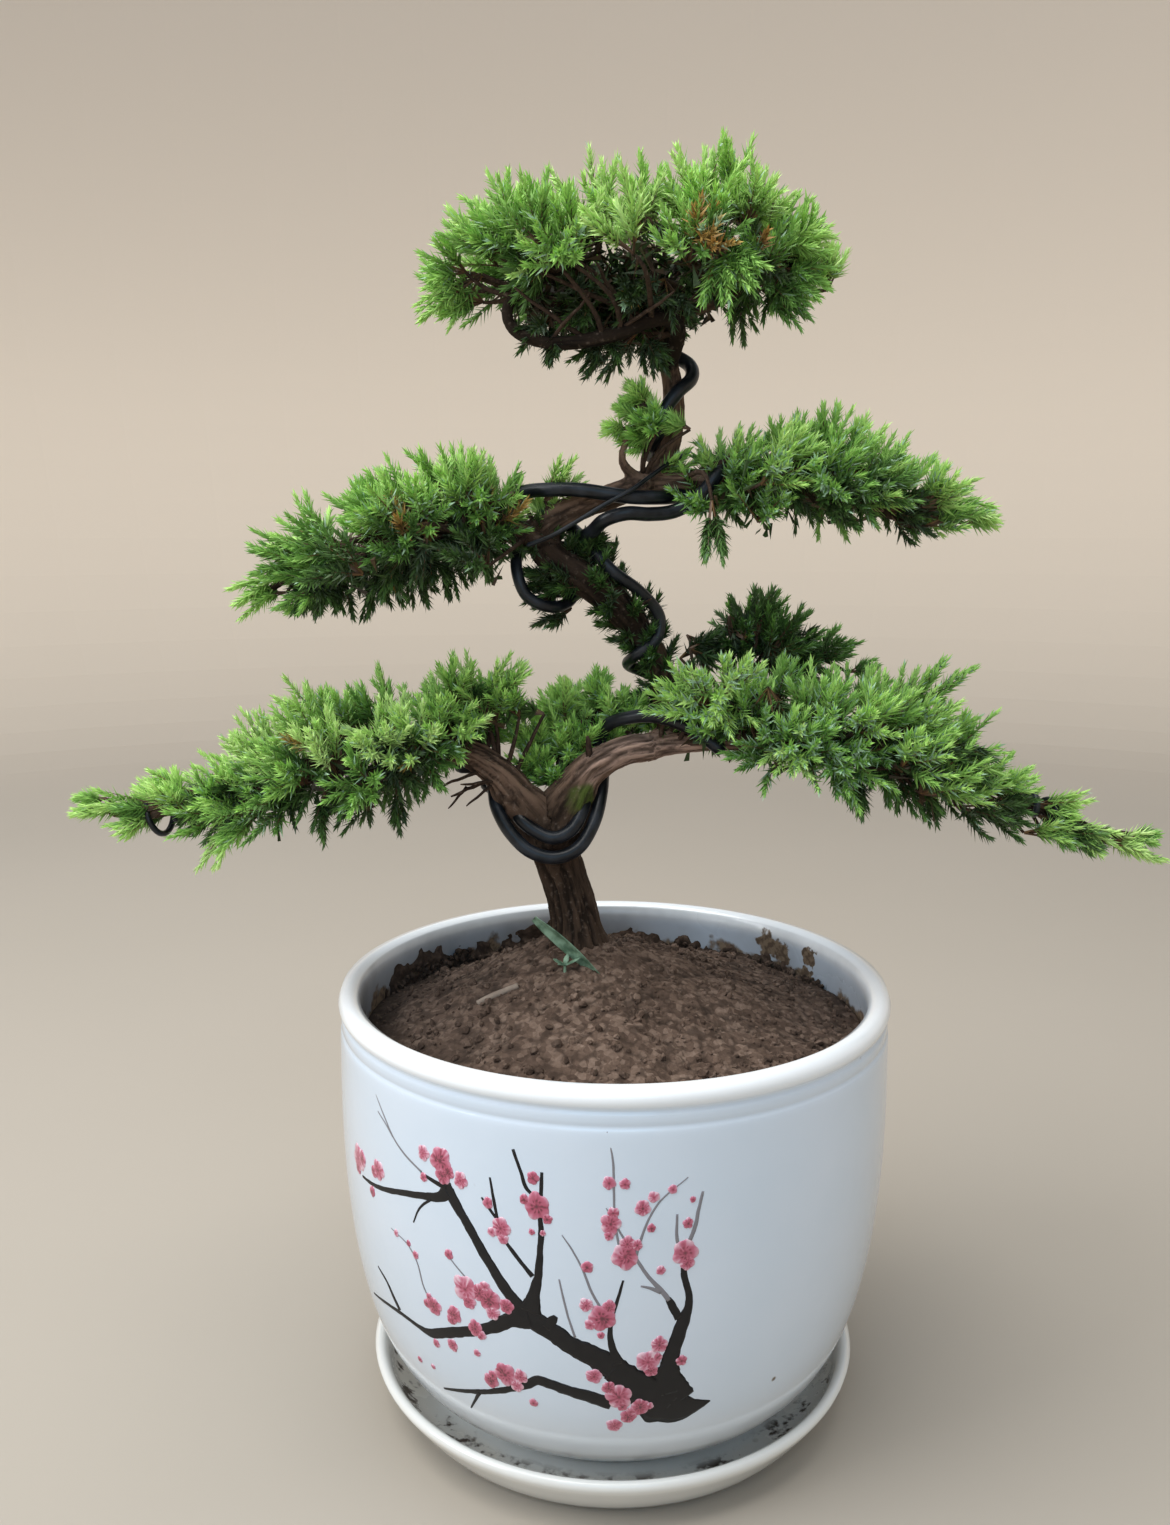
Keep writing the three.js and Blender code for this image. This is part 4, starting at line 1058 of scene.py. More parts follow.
def stuck_clumps(rng):
    """Crumbs that cling to the wall at the back: places, sizes and how dark they are."""
    places, sizes = [], []
    for low, high, count, reach in CLUMP_RUNS:
        turn = np.radians(rng.uniform(low, high, count))
        flat = np.stack([WALL_RUN * turn, 0 * turn, 0 * turn], 1)
        top = reach * np.clip(0.55 + 0.75 * cloud(flat, 9, 3, 44), 0.05, 1.2)
        size = rng.uniform(0.6, 1.9, count)
        seat = 82.9 - 0.5 * size
        x, y = seat * np.cos(turn), seat * np.sin(turn)
        places.append(np.stack([x, y, soil_height(x, y) + rng.uniform(-0.5, 1, count) * top], 1))
        sizes.append(size)
    sizes = np.concatenate(sizes)
    return np.vstack(places), sizes, rng.uniform(0.35, 0.95, len(sizes))


def add_heap(look):
    """Rings of the heap with crumb relief, closed below by the pot's inner shape; painted shade by the wall
    behind and on the left.
    """
    radii = np.linspace(SOIL_RADIUS, 1.2, SOIL_RINGS)
    turn = np.linspace(0, 2 * np.pi, SOIL_SIDES, endpoint=False)[None, :]
    x = (radii[:, None] * np.cos(turn)).ravel()
    y = (radii[:, None] * np.sin(turn)).ravel()
    relief, pit = soil_relief(x, y)
    near_wall = ease(SOIL_RADIUS - np.hypot(x, y), 0, 3)
    # Painted shade by the wall at the back and on the left
    painted_wall_shade = ease(y, 0, 30) * (1 - 0.45 * ease(x, -10, 20))
    painted_wall_shade = np.maximum(painted_wall_shade, ease(-x, 55, 75))
    reach = np.hypot(x, y) + 5 * cloud(np.stack([x, y, 0 * x], 1), 7, 3, 17)
    pit = np.maximum(pit, 0.8 * painted_wall_shade * ease(reach, 66, 80))
    z = soil_height(x, y) + relief * blend(0.4, 1, near_wall)
    top = np.stack([x, y, z], 1).reshape(SOIL_RINGS, SOIL_SIDES, 3)
    under = turned(np.array(SOIL_UNDERSIDE[::-1], float), SOIL_SIDES)
    rings = np.concatenate([under, top])
    shape = with_poles(rings), skin_faces(*rings.shape[:2])
    pits = np.concatenate([np.ones(len(under) * SOIL_SIDES), pit, [1, 0.3]])
    add_piece("loose_soil", shape, look, ["soil"], values={"pit": pits})


def add_crumbs(look):
    """Loose crumbs on the heap, most of them small, and those that cling to the wall."""
    rng = np.random.default_rng(41)
    reach = WALL_RUN * np.sqrt(rng.uniform(0, 1, LOOSE_CRUMBS))
    turn = rng.uniform(0, 2 * np.pi, LOOSE_CRUMBS)
    x, y = reach * np.cos(turn), reach * np.sin(turn)
    size = 0.5 + 1.5 * rng.uniform(0, 1, LOOSE_CRUMBS) ** 3
    relief, _ = soil_relief(x, y)
    loose = np.stack([x, y, soil_height(x, y) + relief + 0.2 * size], 1)
    clear = np.hypot(x, y) + size < CRUMBS_WITHIN
    stuck, girth, dark = stuck_clumps(rng)
    loose, size = np.vstack([loose[clear], stuck]), np.concatenate([size[clear], girth])
    shape = crumbs(loose, size, rng)
    pits = np.repeat(np.concatenate([rng.uniform(0, 0.16, clear.sum()), dark]), len(LUMP_POINTS))
    add_piece("soil_crumbs", shape, look, smooth=False, values={"pit": pits})


def add_soil():
    """The heap, its crumbs and the soil caked on the wall."""
    look = soil_look()
    add_heap(look)
    add_crumbs(look)
    sheets = [stuck_sheet(*run) for run in CAKED_RUNS]
    values = {"pit": np.concatenate([sheet[2] for sheet in sheets])}
    add_piece("caked_soil", joined([sheet[:2] for sheet in sheets]), look, values=values)


# Wood


# Steps in mm: of the bars' rings, of the limbs' samples and of the voxels that fuse the bars
BAR_STEP = 1.6
SAMPLE_STEP = 0.8
WOOD_VOXEL = 0.84
# A sample's distance along its limb starts at its limb's number times this
LIMB_STRIDE = 500
# Columns of the samples
PLACE, TANGENT, SIDE, OVER = slice(0, 3), slice(3, 6), slice(6, 9), slice(9, 12)
RUN, GIRTH = 12, 13


def wood_skin():
    """All limbs as round bars, fused into one skin by a voxel remesh: its points in mm and its quads."""
    lines = [smooth_line(stations, BAR_STEP) for stations in LIMBS]
    bars = joined([tube(line[:, :3], line[:, 3], 16) for line in lines])
    raw = linked("raw_wood", bare_mesh("raw_wood", *bars))
    fuse = raw.modifiers.new("fuse", "REMESH")
    fuse.mode = "VOXEL"
    fuse.voxel_size = WOOD_VOXEL * MM
    done = raw.evaluated_get(bpy.context.evaluated_depsgraph_get()).to_mesh()
    points = np.empty(len(done.vertices) * 3, np.float32)
    done.vertices.foreach_get("co", points)
    corners = np.empty(len(done.loops), np.int32)
    done.loops.foreach_get("vertex_index", corners)
    raw.to_mesh_clear()
    bpy.data.objects.remove(raw)
    return points.reshape(-1, 3).astype(float) / MM, corners.reshape(-1, 4)


def relaxed(points, quads, times):
    """Each point moves half way to the mean of its neighbours along the quads' edges, so many times."""
    a = quads.ravel()
    b = np.roll(quads, -1, axis=1).ravel()
    meets = np.bincount(a, minlength=len(points)) + np.bincount(b, minlength=len(points))
    for _ in range(times):
        total = [
            np.bincount(a, points[b, k], len(points)) + np.bincount(b, points[a, k], len(points))
            for k in range(3)
        ]
        points = blend(points, np.stack(total, 1) / meets[:, None], 0.5)
    return points


def nearest_rows(points, targets, chunk=4000):
    """Index of the nearest target to each point."""
    found = np.empty(len(points), int)
    squares = (targets**2).sum(1)
    for start in range(0, len(points), chunk):
        part = points[start : start + chunk]
        found[start : start + chunk] = (squares - 2 * part @ targets.T).argmin(1)
    return found


def limb_samples():
    """Points all along the limbs: place, tangent, side, up, distance along the limb and radius."""
    rows = []
    for number, stations in enumerate(LIMBS):
        line = smooth_line(stations, SAMPLE_STEP)
        path = line[:, :3]
        run = np.arange(len(path)) * SAMPLE_STEP + LIMB_STRIDE * number
        rows.append(np.column_stack([path, *frames_along(path), run, line[:, 3]]))
    return np.vstack(rows)


WOOD_ROWS = limb_samples()


def limb_rows(limbs):
    """Samples of the limbs with these numbers."""
    return WOOD_ROWS[np.isin(WOOD_ROWS[:, RUN] // LIMB_STRIDE, limbs)]


# Bark colours: the old trunk is dark, the bent limbs are fresher and pinker, and moss sits in the fork
TRUNK_BROWN = np.array([0.042, 0.027, 0.018])
LIMB_BROWN = np.array([0.20, 0.125, 0.088])
PINK_BARK = np.array([0.52, 0.35, 0.28])
MOSS = np.array([0.075, 0.105, 0.022])
FORK_MOSS = np.array([-9.5, -3.5, 203.0])


def bark_relief(points, thick, grain):
    """How far the bark stands out, how deep in a fissure each point is, and where flakes lift.

    Fissures follow the zero line of a cloud along the grain. The trunk is slimmer under the fork and has a
    burl at the fork.
    """
    height = points[:, 2]
    strength = np.clip(thick / 9, 0.2, 1.25)
    fissure = ease(1 - np.abs(cloud(grain, 3.4, 3, 21)), 0.80, 0.99)
    flakes = cloud(grain * [1.6, 1.6, 0.9], 2.6, 3, 24)
    knots = cloud(points, 9, 2, 27)
    slimmer = 0.17 * thick * between(height, (150, 160), (182, 194)) * (thick > 8)
    burl = 1.4 * between(height, (185, 191), (203, 209)) * (thick > 5.5)
    relief = burl - slimmer + strength * (0.55 * knots + 0.55 * flakes - 1.15 * fissure)
    return relief + 0.1 * cloud(points, 1.4, 2, 29), fissure, flakes


def bark_hue(points, near, fissure, flakes):
    """Colour at each point: fresh on thin limbs, pink right of the fork, painted shade on the mid trunk and
    on the curled limb, and dark in fissures.
    """
    height = points[:, 2]
    fresh = ease(height, 192, 212) * (1 - ease(near[:, GIRTH], 6.4, 8.5))
    fresh = np.maximum(fresh, 0.15 * (cloud(points, 12, 2, 31) + 1))
    fresh = fresh * (1 - 0.6 * ease(height, 326, 342))
    hue = blend(TRUNK_BROWN, LIMB_BROWN, fresh[:, None])
    pink = between(points[:, 0], (-14, -6), (22, 40)) * between(height, (202, 208), (224, 230))
    hue = blend(hue, PINK_BARK, (0.75 * pink * ease(flakes, -0.5, 0.4))[:, None])
    # Painted shade on the trunk under the mid pads
    shade = between(height, (232, 256), (284, 296))
    hue = blend(hue, 0.6 * TRUNK_BROWN, (0.9 * shade)[:, None])
    # Painted shade on the curled limb in the hollow under the crown
    curled = near[:, [RUN]] // LIMB_STRIDE == LIMBS.index(CURLED_LIMB)
    hue = np.where(curled, 0.5 * TRUNK_BROWN, hue)
    hue = hue * blend(1, 0.3, fissure)[:, None] * (1 + 0.35 * flakes)[:, None]
    from_moss = np.linalg.norm((points - FORK_MOSS) / [6.5, 5, 5.5], axis=1)
    mossy = ease(0.5 * cloud(points, 4, 2, 33) - from_moss, -1.1, -0.6)
    return blend(hue, MOSS * (1 + 0.5 * flakes)[:, None], mossy[:, None])


def add_wood():
    """The limbs' skin, relaxed where they meet, with its bark pushed in and out along the limb's radius."""
    points, quads = wood_skin()
    points = relaxed(points, quads, 4)
    near = WOOD_ROWS[nearest_rows(points, WOOD_ROWS[:, PLACE])]
    off = points - near[:, PLACE]
    out = square_to(off, near[:, TANGENT])
    grain = np.column_stack([dot(off, near[:, SIDE]), dot(off, near[:, OVER]), 0.16 * near[:, RUN]])
    push, fissure, flakes = bark_relief(points, near[:, GIRTH], grain)
    points = points + out * push[:, None]
    hue = np.clip(bark_hue(points, near, fissure, flakes), 0.004, 1)
    values = {"grain": grain * MM, "hue": hue}
    add_piece("barked_wood", (points, [quads]), bark_look("bark"), ["trunk_and_limbs"], values=values)


# Wire


def winding(start, end, turns, coil_radius):
    """Points of a coil about the line from start to end."""
    start, end = np.array(start, float), np.array(end, float)
    along = end - start
    axis = unit(along)
    side = square_to(np.array([0.0, 1, 0]), axis)
    up = np.cross(axis, side)
    share = np.linspace(0, 1, int(turns * 8) + 1)[:, None]
    turn = 2 * np.pi * turns * share
    return start + share * along + coil_radius * (np.cos(turn) * side + np.sin(turn) * up)


def add_wires():
    """Every wire as a round bar with domed ends, a little uneven along its run."""
    look = wire_look()
    runs = dict(WIRES)
    for name, (radius, start, end, turns, coil) in TIP_WIRES.items():
        runs[name] = (radius, winding(start, end, turns, coil))
    for name, (radius, stations) in runs.items():
        path = smooth_line(stations, 1.3)[:, :3]
        path = path + 0.12 * np.stack([cloud(path + 50 * k, 9, 2, 60 + k) for k in range(3)], 1)
        path, radii = rounded(path, radius)
        sides = 16 if radius > 1.5 else 10
        add_piece(name + "_bar", tube(path, radii, sides), look, [name])


# Foliage

NEEDLE_CORNERS = np.array([(-0.5, 0, 0), (0.5, 0, 0), (0, -0.55, 0.02), (0, 0.0, 1)])
NEEDLE_FACES = np.array([(0, 1, 3), (1, 2, 3), (2, 0, 3), (0, 2, 1)])
STEM_CORNERS = np.array([(1, 0, 0), (-0.5, 0.87, 0), (-0.5, -0.87, 0), (0, 0, 1)])
NEEDLE_LENGTH = 5.3
NEEDLE_WIDTH = 1.2
WHORLS = 10

# Limits of a needle's colour number: dead ones are at most the first, living ones at least the second, and
# pale ones have the third
DEAD_PICK = 0.29
LIVE_PICK = 0.345
PALE_PICK = 0.305

# How each pad is dressed: number of tufts, colour number in painted shade below and in painted light on top,
# which limbs its twigs leave, and its seed
PADS = {
    "lower_left_foliage": dict(count=74, low=0.43, high=0.89, limbs=[1], seed=101),
    "lower_right_foliage": dict(count=80, low=0.42, high=0.82, limbs=[2], seed=102, pale=0.3),
    "lower_back_foliage": dict(count=24, low=0.34, high=0.50, limbs=[12, 13], seed=103),
    "mid_left_foliage": dict(count=54, low=0.37, high=0.82, limbs=[3], seed=104, shade=0.3),
    "mid_right_foliage": dict(count=52, low=0.42, high=0.82, limbs=[4], seed=105, pale=0.25),
    "crown_foliage": dict(
        count=90, low=0.38, high=0.87, limbs=[5, 6, 7, 8, 9], seed=106, shade=0.12, hollow=True
    ),
    "centre_tuft": dict(count=8, low=0.5, high=0.82, limbs=[10], seed=107, reach=10),
    "lower_centre_foliage": dict(count=26, low=0.58, high=0.92, limbs=[11], seed=108, reach=12),
}
# Sprigs that stand out of a pad: root, tip, number of shoots, spread and colour number, low for painted shade
# under a pad and high for painted light
SPRIGS = {
    "lower_left_foliage": [
        ((-116, -14, 206), (-131, -15, 185), 5, 0.28, 0.88),
        ((-111, -10, 210), (-126, -12, 193), 5, 0.35, 0.80),
        ((-90, -20, 210), (-92, -21, 194), 5, 0.35, 0.44), ((-68, -16, 211), (-70, -17, 197), 5, 0.4, 0.42),
        ((-156, -2, 200), (-178, -2, 199), 4, 0.16, 0.90), ((-148, -3, 202), (-168, -6, 203), 5, 0.3, 0.86),
        ((-146, -4, 200), (-161, -8, 193), 5, 0.3, 0.84), ((-138, -2, 206), (-150, -3, 214), 5, 0.4, 0.84),
        ((-40, -6, 236), (-31, -8, 251), 7, 0.5, 0.88), ((-50, -6, 234), (-50, -8, 250), 6, 0.5, 0.80),
        ((-44, 6, 222), (-34, 2, 236), 8, 0.6, 0.80), ((-46, 8, 220), (-36, 10, 226), 8, 0.7, 0.66),
    ],
    "lower_right_foliage": [
        ((27, -4, 230), (14, -16, 239), 9, 0.7, 0.84), ((30, -8, 234), (20, -24, 246), 9, 0.7, 0.86),
        ((90, -6, 229), (112, -7, 248), 7, 0.34, 0.74), ((75, -18, 216), (77, -20, 202), 5, 0.35, 0.42),
        ((96, -10, 212), (100, -14, 198), 5, 0.4, 0.44), ((34, -14, 238), (34, -34, 242), 12, 0.95, 0.90),
        ((55, -14, 224), (56, -34, 225), 11, 0.9, 0.94), ((158, 2, 189), (184, 3, 181.5), 4, 0.1, 0.93),
        ((146, 1, 195), (166, -2, 189), 5, 0.25, 0.90), ((136, 0, 201), (153, -4, 202), 6, 0.35, 0.86),
        ((150, 1, 193), (160, 2, 183), 4, 0.3, 0.80), ((163, 1, 188.5), (176, -1, 188), 5, 0.4, 0.90),
        ((140, 0, 196), (150, -5, 187), 5, 0.4, 0.62),
    ],
    "lower_centre_foliage": [
        ((-22, 14, 212), (-35, 8, 224), 8, 0.5, 0.82), ((-20, 15, 210), (-28, 8, 217), 8, 0.6, 0.74),
        ((-25, 9, 207), (-36, 4, 220), 9, 0.7, 0.78), ((-23, 9, 207), (-29, 3, 218), 9, 0.8, 0.80),
        ((-19, 9, 206), (-22, 3, 216), 8, 0.8, 0.70), ((-24, 12, 214), (-31, 8, 231), 7, 0.5, 0.82),
        ((-18, 13, 212), (-21, 8, 229), 7, 0.5, 0.80), ((-13, 13, 213), (-11, 8, 231), 7, 0.5, 0.82),
        ((-16, 14, 222), (-17, 10, 240), 7, 0.6, 0.86), ((0, 15, 222), (4, 10, 238), 7, 0.6, 0.84),
        ((-19, 12, 214), (-17, 9, 204), 4, 0.5, 0.6), ((-14, 14, 214), (-14, 6, 222), 8, 0.8, 0.84),
        ((-4, 14, 216), (-2, 7, 227), 7, 0.6, 0.82),
    ],
    "mid_left_foliage": [
        ((-104, -2, 276), (-120, -3, 265), 6, 0.35, 0.86), ((-22, -2, 298), (-12, -5, 309), 6, 0.5, 0.84),
        ((-96, -6, 275), (-98, -9, 262), 7, 0.6, 0.38), ((-85, -6, 277), (-86, -10, 261), 8, 0.6, 0.36),
        ((-74, -4, 280), (-74, -8, 263), 8, 0.6, 0.37), ((-64, -4, 283), (-63, -8, 266), 8, 0.6, 0.36),
        ((-54, -2, 286), (-52, -6, 270), 8, 0.6, 0.36), ((-45, 0, 288), (-42, -4, 274), 8, 0.6, 0.37),
        ((-90, -14, 276), (-91, -18, 265), 7, 0.6, 0.4), ((-70, -12, 281), (-69, -18, 268), 7, 0.6, 0.38),
        ((-58, -10, 284), (-56, -14, 273), 7, 0.6, 0.38), ((-16, 8, 270), (-29, 2, 270), 7, 0.6, 0.37),
        ((-16, 8, 272), (-27, 1, 278), 7, 0.6, 0.38), ((-14, 8, 264), (-25, 2, 262), 6, 0.6, 0.37),
        ((-15, 6, 279), (-11, 0, 286), 6, 0.6, 0.38), ((-9, 6, 285), (-2, 0, 284), 6, 0.6, 0.38),
    ],
    "mid_right_foliage": [
        ((28, -22, 298), (31, -27, 280), 7, 0.35, 0.52), ((104, 0, 297), (121, -1, 292), 5, 0.3, 0.86),
        ((64, -6, 310), (67, -8, 328), 6, 0.4, 0.80),
    ],
    "crown_foliage": [
        ((29, -27, 370), (28, -36, 349), 6, 0.3, 0.66), ((29, -27, 370), (40, -36, 360), 5, 0.3, 0.70),
        ((29, -27, 369), (35, -37, 353), 6, 0.3, 0.68), ((7, -4, 349), (-12, -9, 337), 8, 0.5, 0.36),
        ((8, -3, 348), (14, -8, 337), 8, 0.5, 0.37), ((-3, -5, 350), (-5, -10, 334), 9, 0.6, 0.36),
        ((-20, -6, 352), (-23, -18, 341), 9, 0.7, 0.37), ((-8, -8, 358), (-10, -22, 352), 8, 0.8, 0.36),
        ((6, -8, 360), (8, -24, 355), 8, 0.8, 0.36), ((-40, -8, 364), (-56, -13, 351), 7, 0.45, 0.84),
        ((-20, -12, 366), (-20, -38, 372), 9, 0.8, 0.97), ((34, 0, 384), (37, -4, 405), 8, 0.45, 0.84),
        ((50, -6, 366), (62, -12, 360), 8, 0.5, 0.74), ((48, -8, 372), (63, -12, 373), 8, 0.5, 0.84),
        ((44, -10, 362), (54, -18, 350), 7, 0.5, 0.56),
    ],
}
# Bare dead twigs and stubs: from, to and radius
DEAD_TWIGS = [
    ((-38, -4, 211), (-52, -10, 206), 0.7), ((-37, -4, 210), (-49, -12, 210), 0.6),
    ((-44, -5, 213), (-56, -12, 209), 0.6), ((-39, -4, 209), (-47, -10, 203), 0.5),
    ((-47, -6, 208), (-53, -9, 202), 0.45), ((-8, 2, 213), (-8.5, -3, 224), 1.3),
    ((-22, 4, 287), (-25, -3, 292), 1.6), ((-15, 8, 268), (-27, -2, 268), 0.5),
    ((2, 8, 262), (12, 0, 268), 0.5), ((12, -8, 350), (-24, -24, 362), 0.8),
    ((4, -10, 348), (-6, -26, 364), 0.7), ((14, -6, 352), (30, -24, 360), 0.8),
    ((-10, -14, 345), (-30, -22, 358), 0.7), ((0, -14, 347), (16, -26, 356), 0.6),
    ((-20, -14, 344), (-8, -24, 356), 0.6), ((-76, -4, 283), (-88, -16, 276), 0.6),
    ((-94, -4, 214), (-104, -20, 208), 0.6), ((-70, -3, 219), (-84, -18, 209), 0.7),
]
# The dark, nearly bare hollow under the crown: middle, half sizes and number of scraps caught in it, as
# painted shade
CROWN_HOLLOW = np.array([-2, 6, 359])
HOLLOW_REACH = [34, 17, 15]
HOLLOW_SHADE_SCRAPS = 1700
# Part of the trunk that carries short shoots of its own, from height to height, and how many
SHOOTS_FROM, SHOOTS_TO = 232, 286
TRUNK_SHOOTS = 96
# Where needles have died back: place and radius
DEAD_SPOTS = [
    ((-35, -14, 300), 10), ((-60, -26, 297), 11), ((30, -36, 373), 11), ((20, -34, 375), 8),
    ((-1, -9, 308), 6), ((22, -16, 317), 8), ((-46, -24, 233), 7), ((14, -8, 225), 7), ((42, -30, 366), 7),
    ((-82, -32, 237), 6), ((-58, -28, 240), 6), ((-102, -30, 226), 5), ((18, -14, 232), 6),
    ((-66, -30, 222), 5),
]


def tier_surface(stations):
    """A fine grid over a tier's skin: its points, outward normals and the area round each."""
    rows = np.array(stations, float)
    rows = rows[np.argsort(rows[:, 0])]
    x = np.linspace(rows[0, 0], rows[-1, 0], 90)
    middle, depth, bottom, top = (np.interp(x, rows[:, 0], rows[:, k]) for k in (1, 2, 3, 4))
    waist = bottom + (top - bottom) * WAIST
    turn = np.linspace(0, 2 * np.pi, 72, endpoint=False)[None, :]
    rise = np.where(np.sin(turn) > 0, (top - waist)[:, None], (waist - bottom)[:, None])
    y = middle[:, None] + depth[:, None] * np.cos(turn)
    z = waist[:, None] + rise * np.sin(turn)
    grid = np.stack([np.broadcast_to(x[:, None], y.shape), y, z], -1)
    along = np.gradient(grid, axis=0)
    around = (np.roll(grid, -1, 1) - np.roll(grid, 1, 1)) / 2
    normal = np.cross(around, along)
    area = np.linalg.norm(normal, axis=-1)
    centre = np.stack([x, middle, waist], 1)[:, None]
    normal = unit(normal) * np.sign(dot(grid - centre, normal) + 1e-9)
    return grid.reshape(-1, 3), normal.reshape(-1, 3), area.ravel()


def spread_out(points, weights, count, rng):
    """Chooses so many points, each as far as can be from those before, out of a random draw by weight."""
    pool = rng.choice(len(points), min(len(points), count * 12), replace=False, p=weights / weights.sum())
    places = points[pool]
    chosen = [0]
    gap = np.linalg.norm(places - places[0], axis=1)
    for _ in range(count - 1):
        chosen.append(int(gap.argmax()))
        gap = np.minimum(gap, np.linalg.norm(places - places[chosen[-1]], axis=1))
    return pool[chosen]


def fanned(root, way, depth, shoots, fan, rng):
    """Shoots from each root in a cone about its way, the outer ones shorter: feet, tips and their tuft."""
    of = np.repeat(np.arange(len(root)), shoots)
    spin = rng.uniform(0, 2 * np.pi, len(of))
    side = unit(np.cross(way, [0.2, 0.3, 0.93]))
    over = np.cross(way, side)
    share = np.sqrt(rng.uniform(0, 1, len(of)))
    open_ = np.tan(share * fan[of])[:, None]
    point = unit(way[of] + open_ * (np.cos(spin)[:, None] * side[of] + np.sin(spin)[:, None] * over[of]))
    length = depth[of] * (1 - 0.2 * share**2) * rng.uniform(0.84, 1.1, len(of))
    foot = root[of] + point * (0.32 * length)[:, None]
    return foot, root[of] + point * length[:, None], of


def tufts_of(stations, plan, rng):
    """Tufts of shoots over a tier: feet, tips, painted light, colour shift, roots and which roots lie in
    thick parts.

    Each tuft is rooted under the skin and fans out about a direction between the skin's normal, the way the
    branch grows and up. Towards the thin tip of a tier the shoots lie closer along the branch. A hollow tier
    is nearly bare under its brow in front.
    """
    grid, normal, area = tier_surface(stations)
    first, last = stations[0][0], stations[-1][0]
    hollow = plan.get("hollow", False)
    forward = np.array([np.sign(first - last), 0, 0])
    count = plan["count"]
    spot = spread_out(grid, area * blend(0.45, 1, ease(normal[:, 2], -0.7, 0.1)), count, rng)
    place, out = grid[spot], normal[spot]
    half = np.interp(place[:, 0], *np.array(sorted((s[0], (s[4] - s[3]) / 2) for s in stations)).T)
    slim = (1 - ease(half, 5, 15)) * (0.25 if hollow else 1)
    # Painted light: tufts that face up, and those near a tier's tips, get brighter colours; the pad's shade
    # lowers it
    light = ease(out[:, 2] - plan.get("shade", 0), -0.5, 0.6)
    gap = np.abs(place[:, 0] - first)
    if hollow:
        gap = np.minimum(gap, np.abs(place[:, 0] - last))
    light = np.maximum(light, 0.8 * (1 - ease(gap, 8, 28)))
    if hollow:
        x, y, z = place.T
        brow = 371 + 11 * np.exp(-(((x - 6) / 15) ** 2))
        bare = (np.abs(x + 3) < 31) & (y < -4) & (z < brow) & (out[:, 2] < 0.65)
        bare &= rng.uniform(0, 1, count) < 0.9
        place, out, half, slim, light = (v[~bare] for v in (place, out, half, slim, light))
        count = len(place)
    flat = out * np.where(out[:, 2:] < 0, [1, 1, 0.6], [1, 1, 1])
    lean = 0.45 + 1.7 * slim[:, None]
    way = unit(flat + lean * forward + 0.3 * UP * light[:, None] + 0.2 * rng.normal(size=(count, 3)))
    depth = np.minimum(plan.get("reach", 19.0), 0.85 * half + 8) * rng.uniform(0.85, 1.15, count)
    sunk = 5 * ease(-out[:, 2], 0.1, 0.7)
    place = place + unit(flat) * (rng.uniform(-4.5, 3.0, count) * (1 - 0.6 * slim) - sunk)[:, None]
    root = place - way * depth[:, None]
    shoots = np.round(rng.integers(9, 12, count, endpoint=True) * (1 - 0.5 * slim)).astype(int)
    fan = (0.82 - 0.45 * slim) * rng.uniform(0.85, 1.1, count)
    own = rng.normal(0, 0.06, count)
    foot, tip, of = fanned(root, way, depth, shoots, fan, rng)
    return foot, tip, light[of], own[of], root, (half > 17) & (out[:, 2] > -0.1)


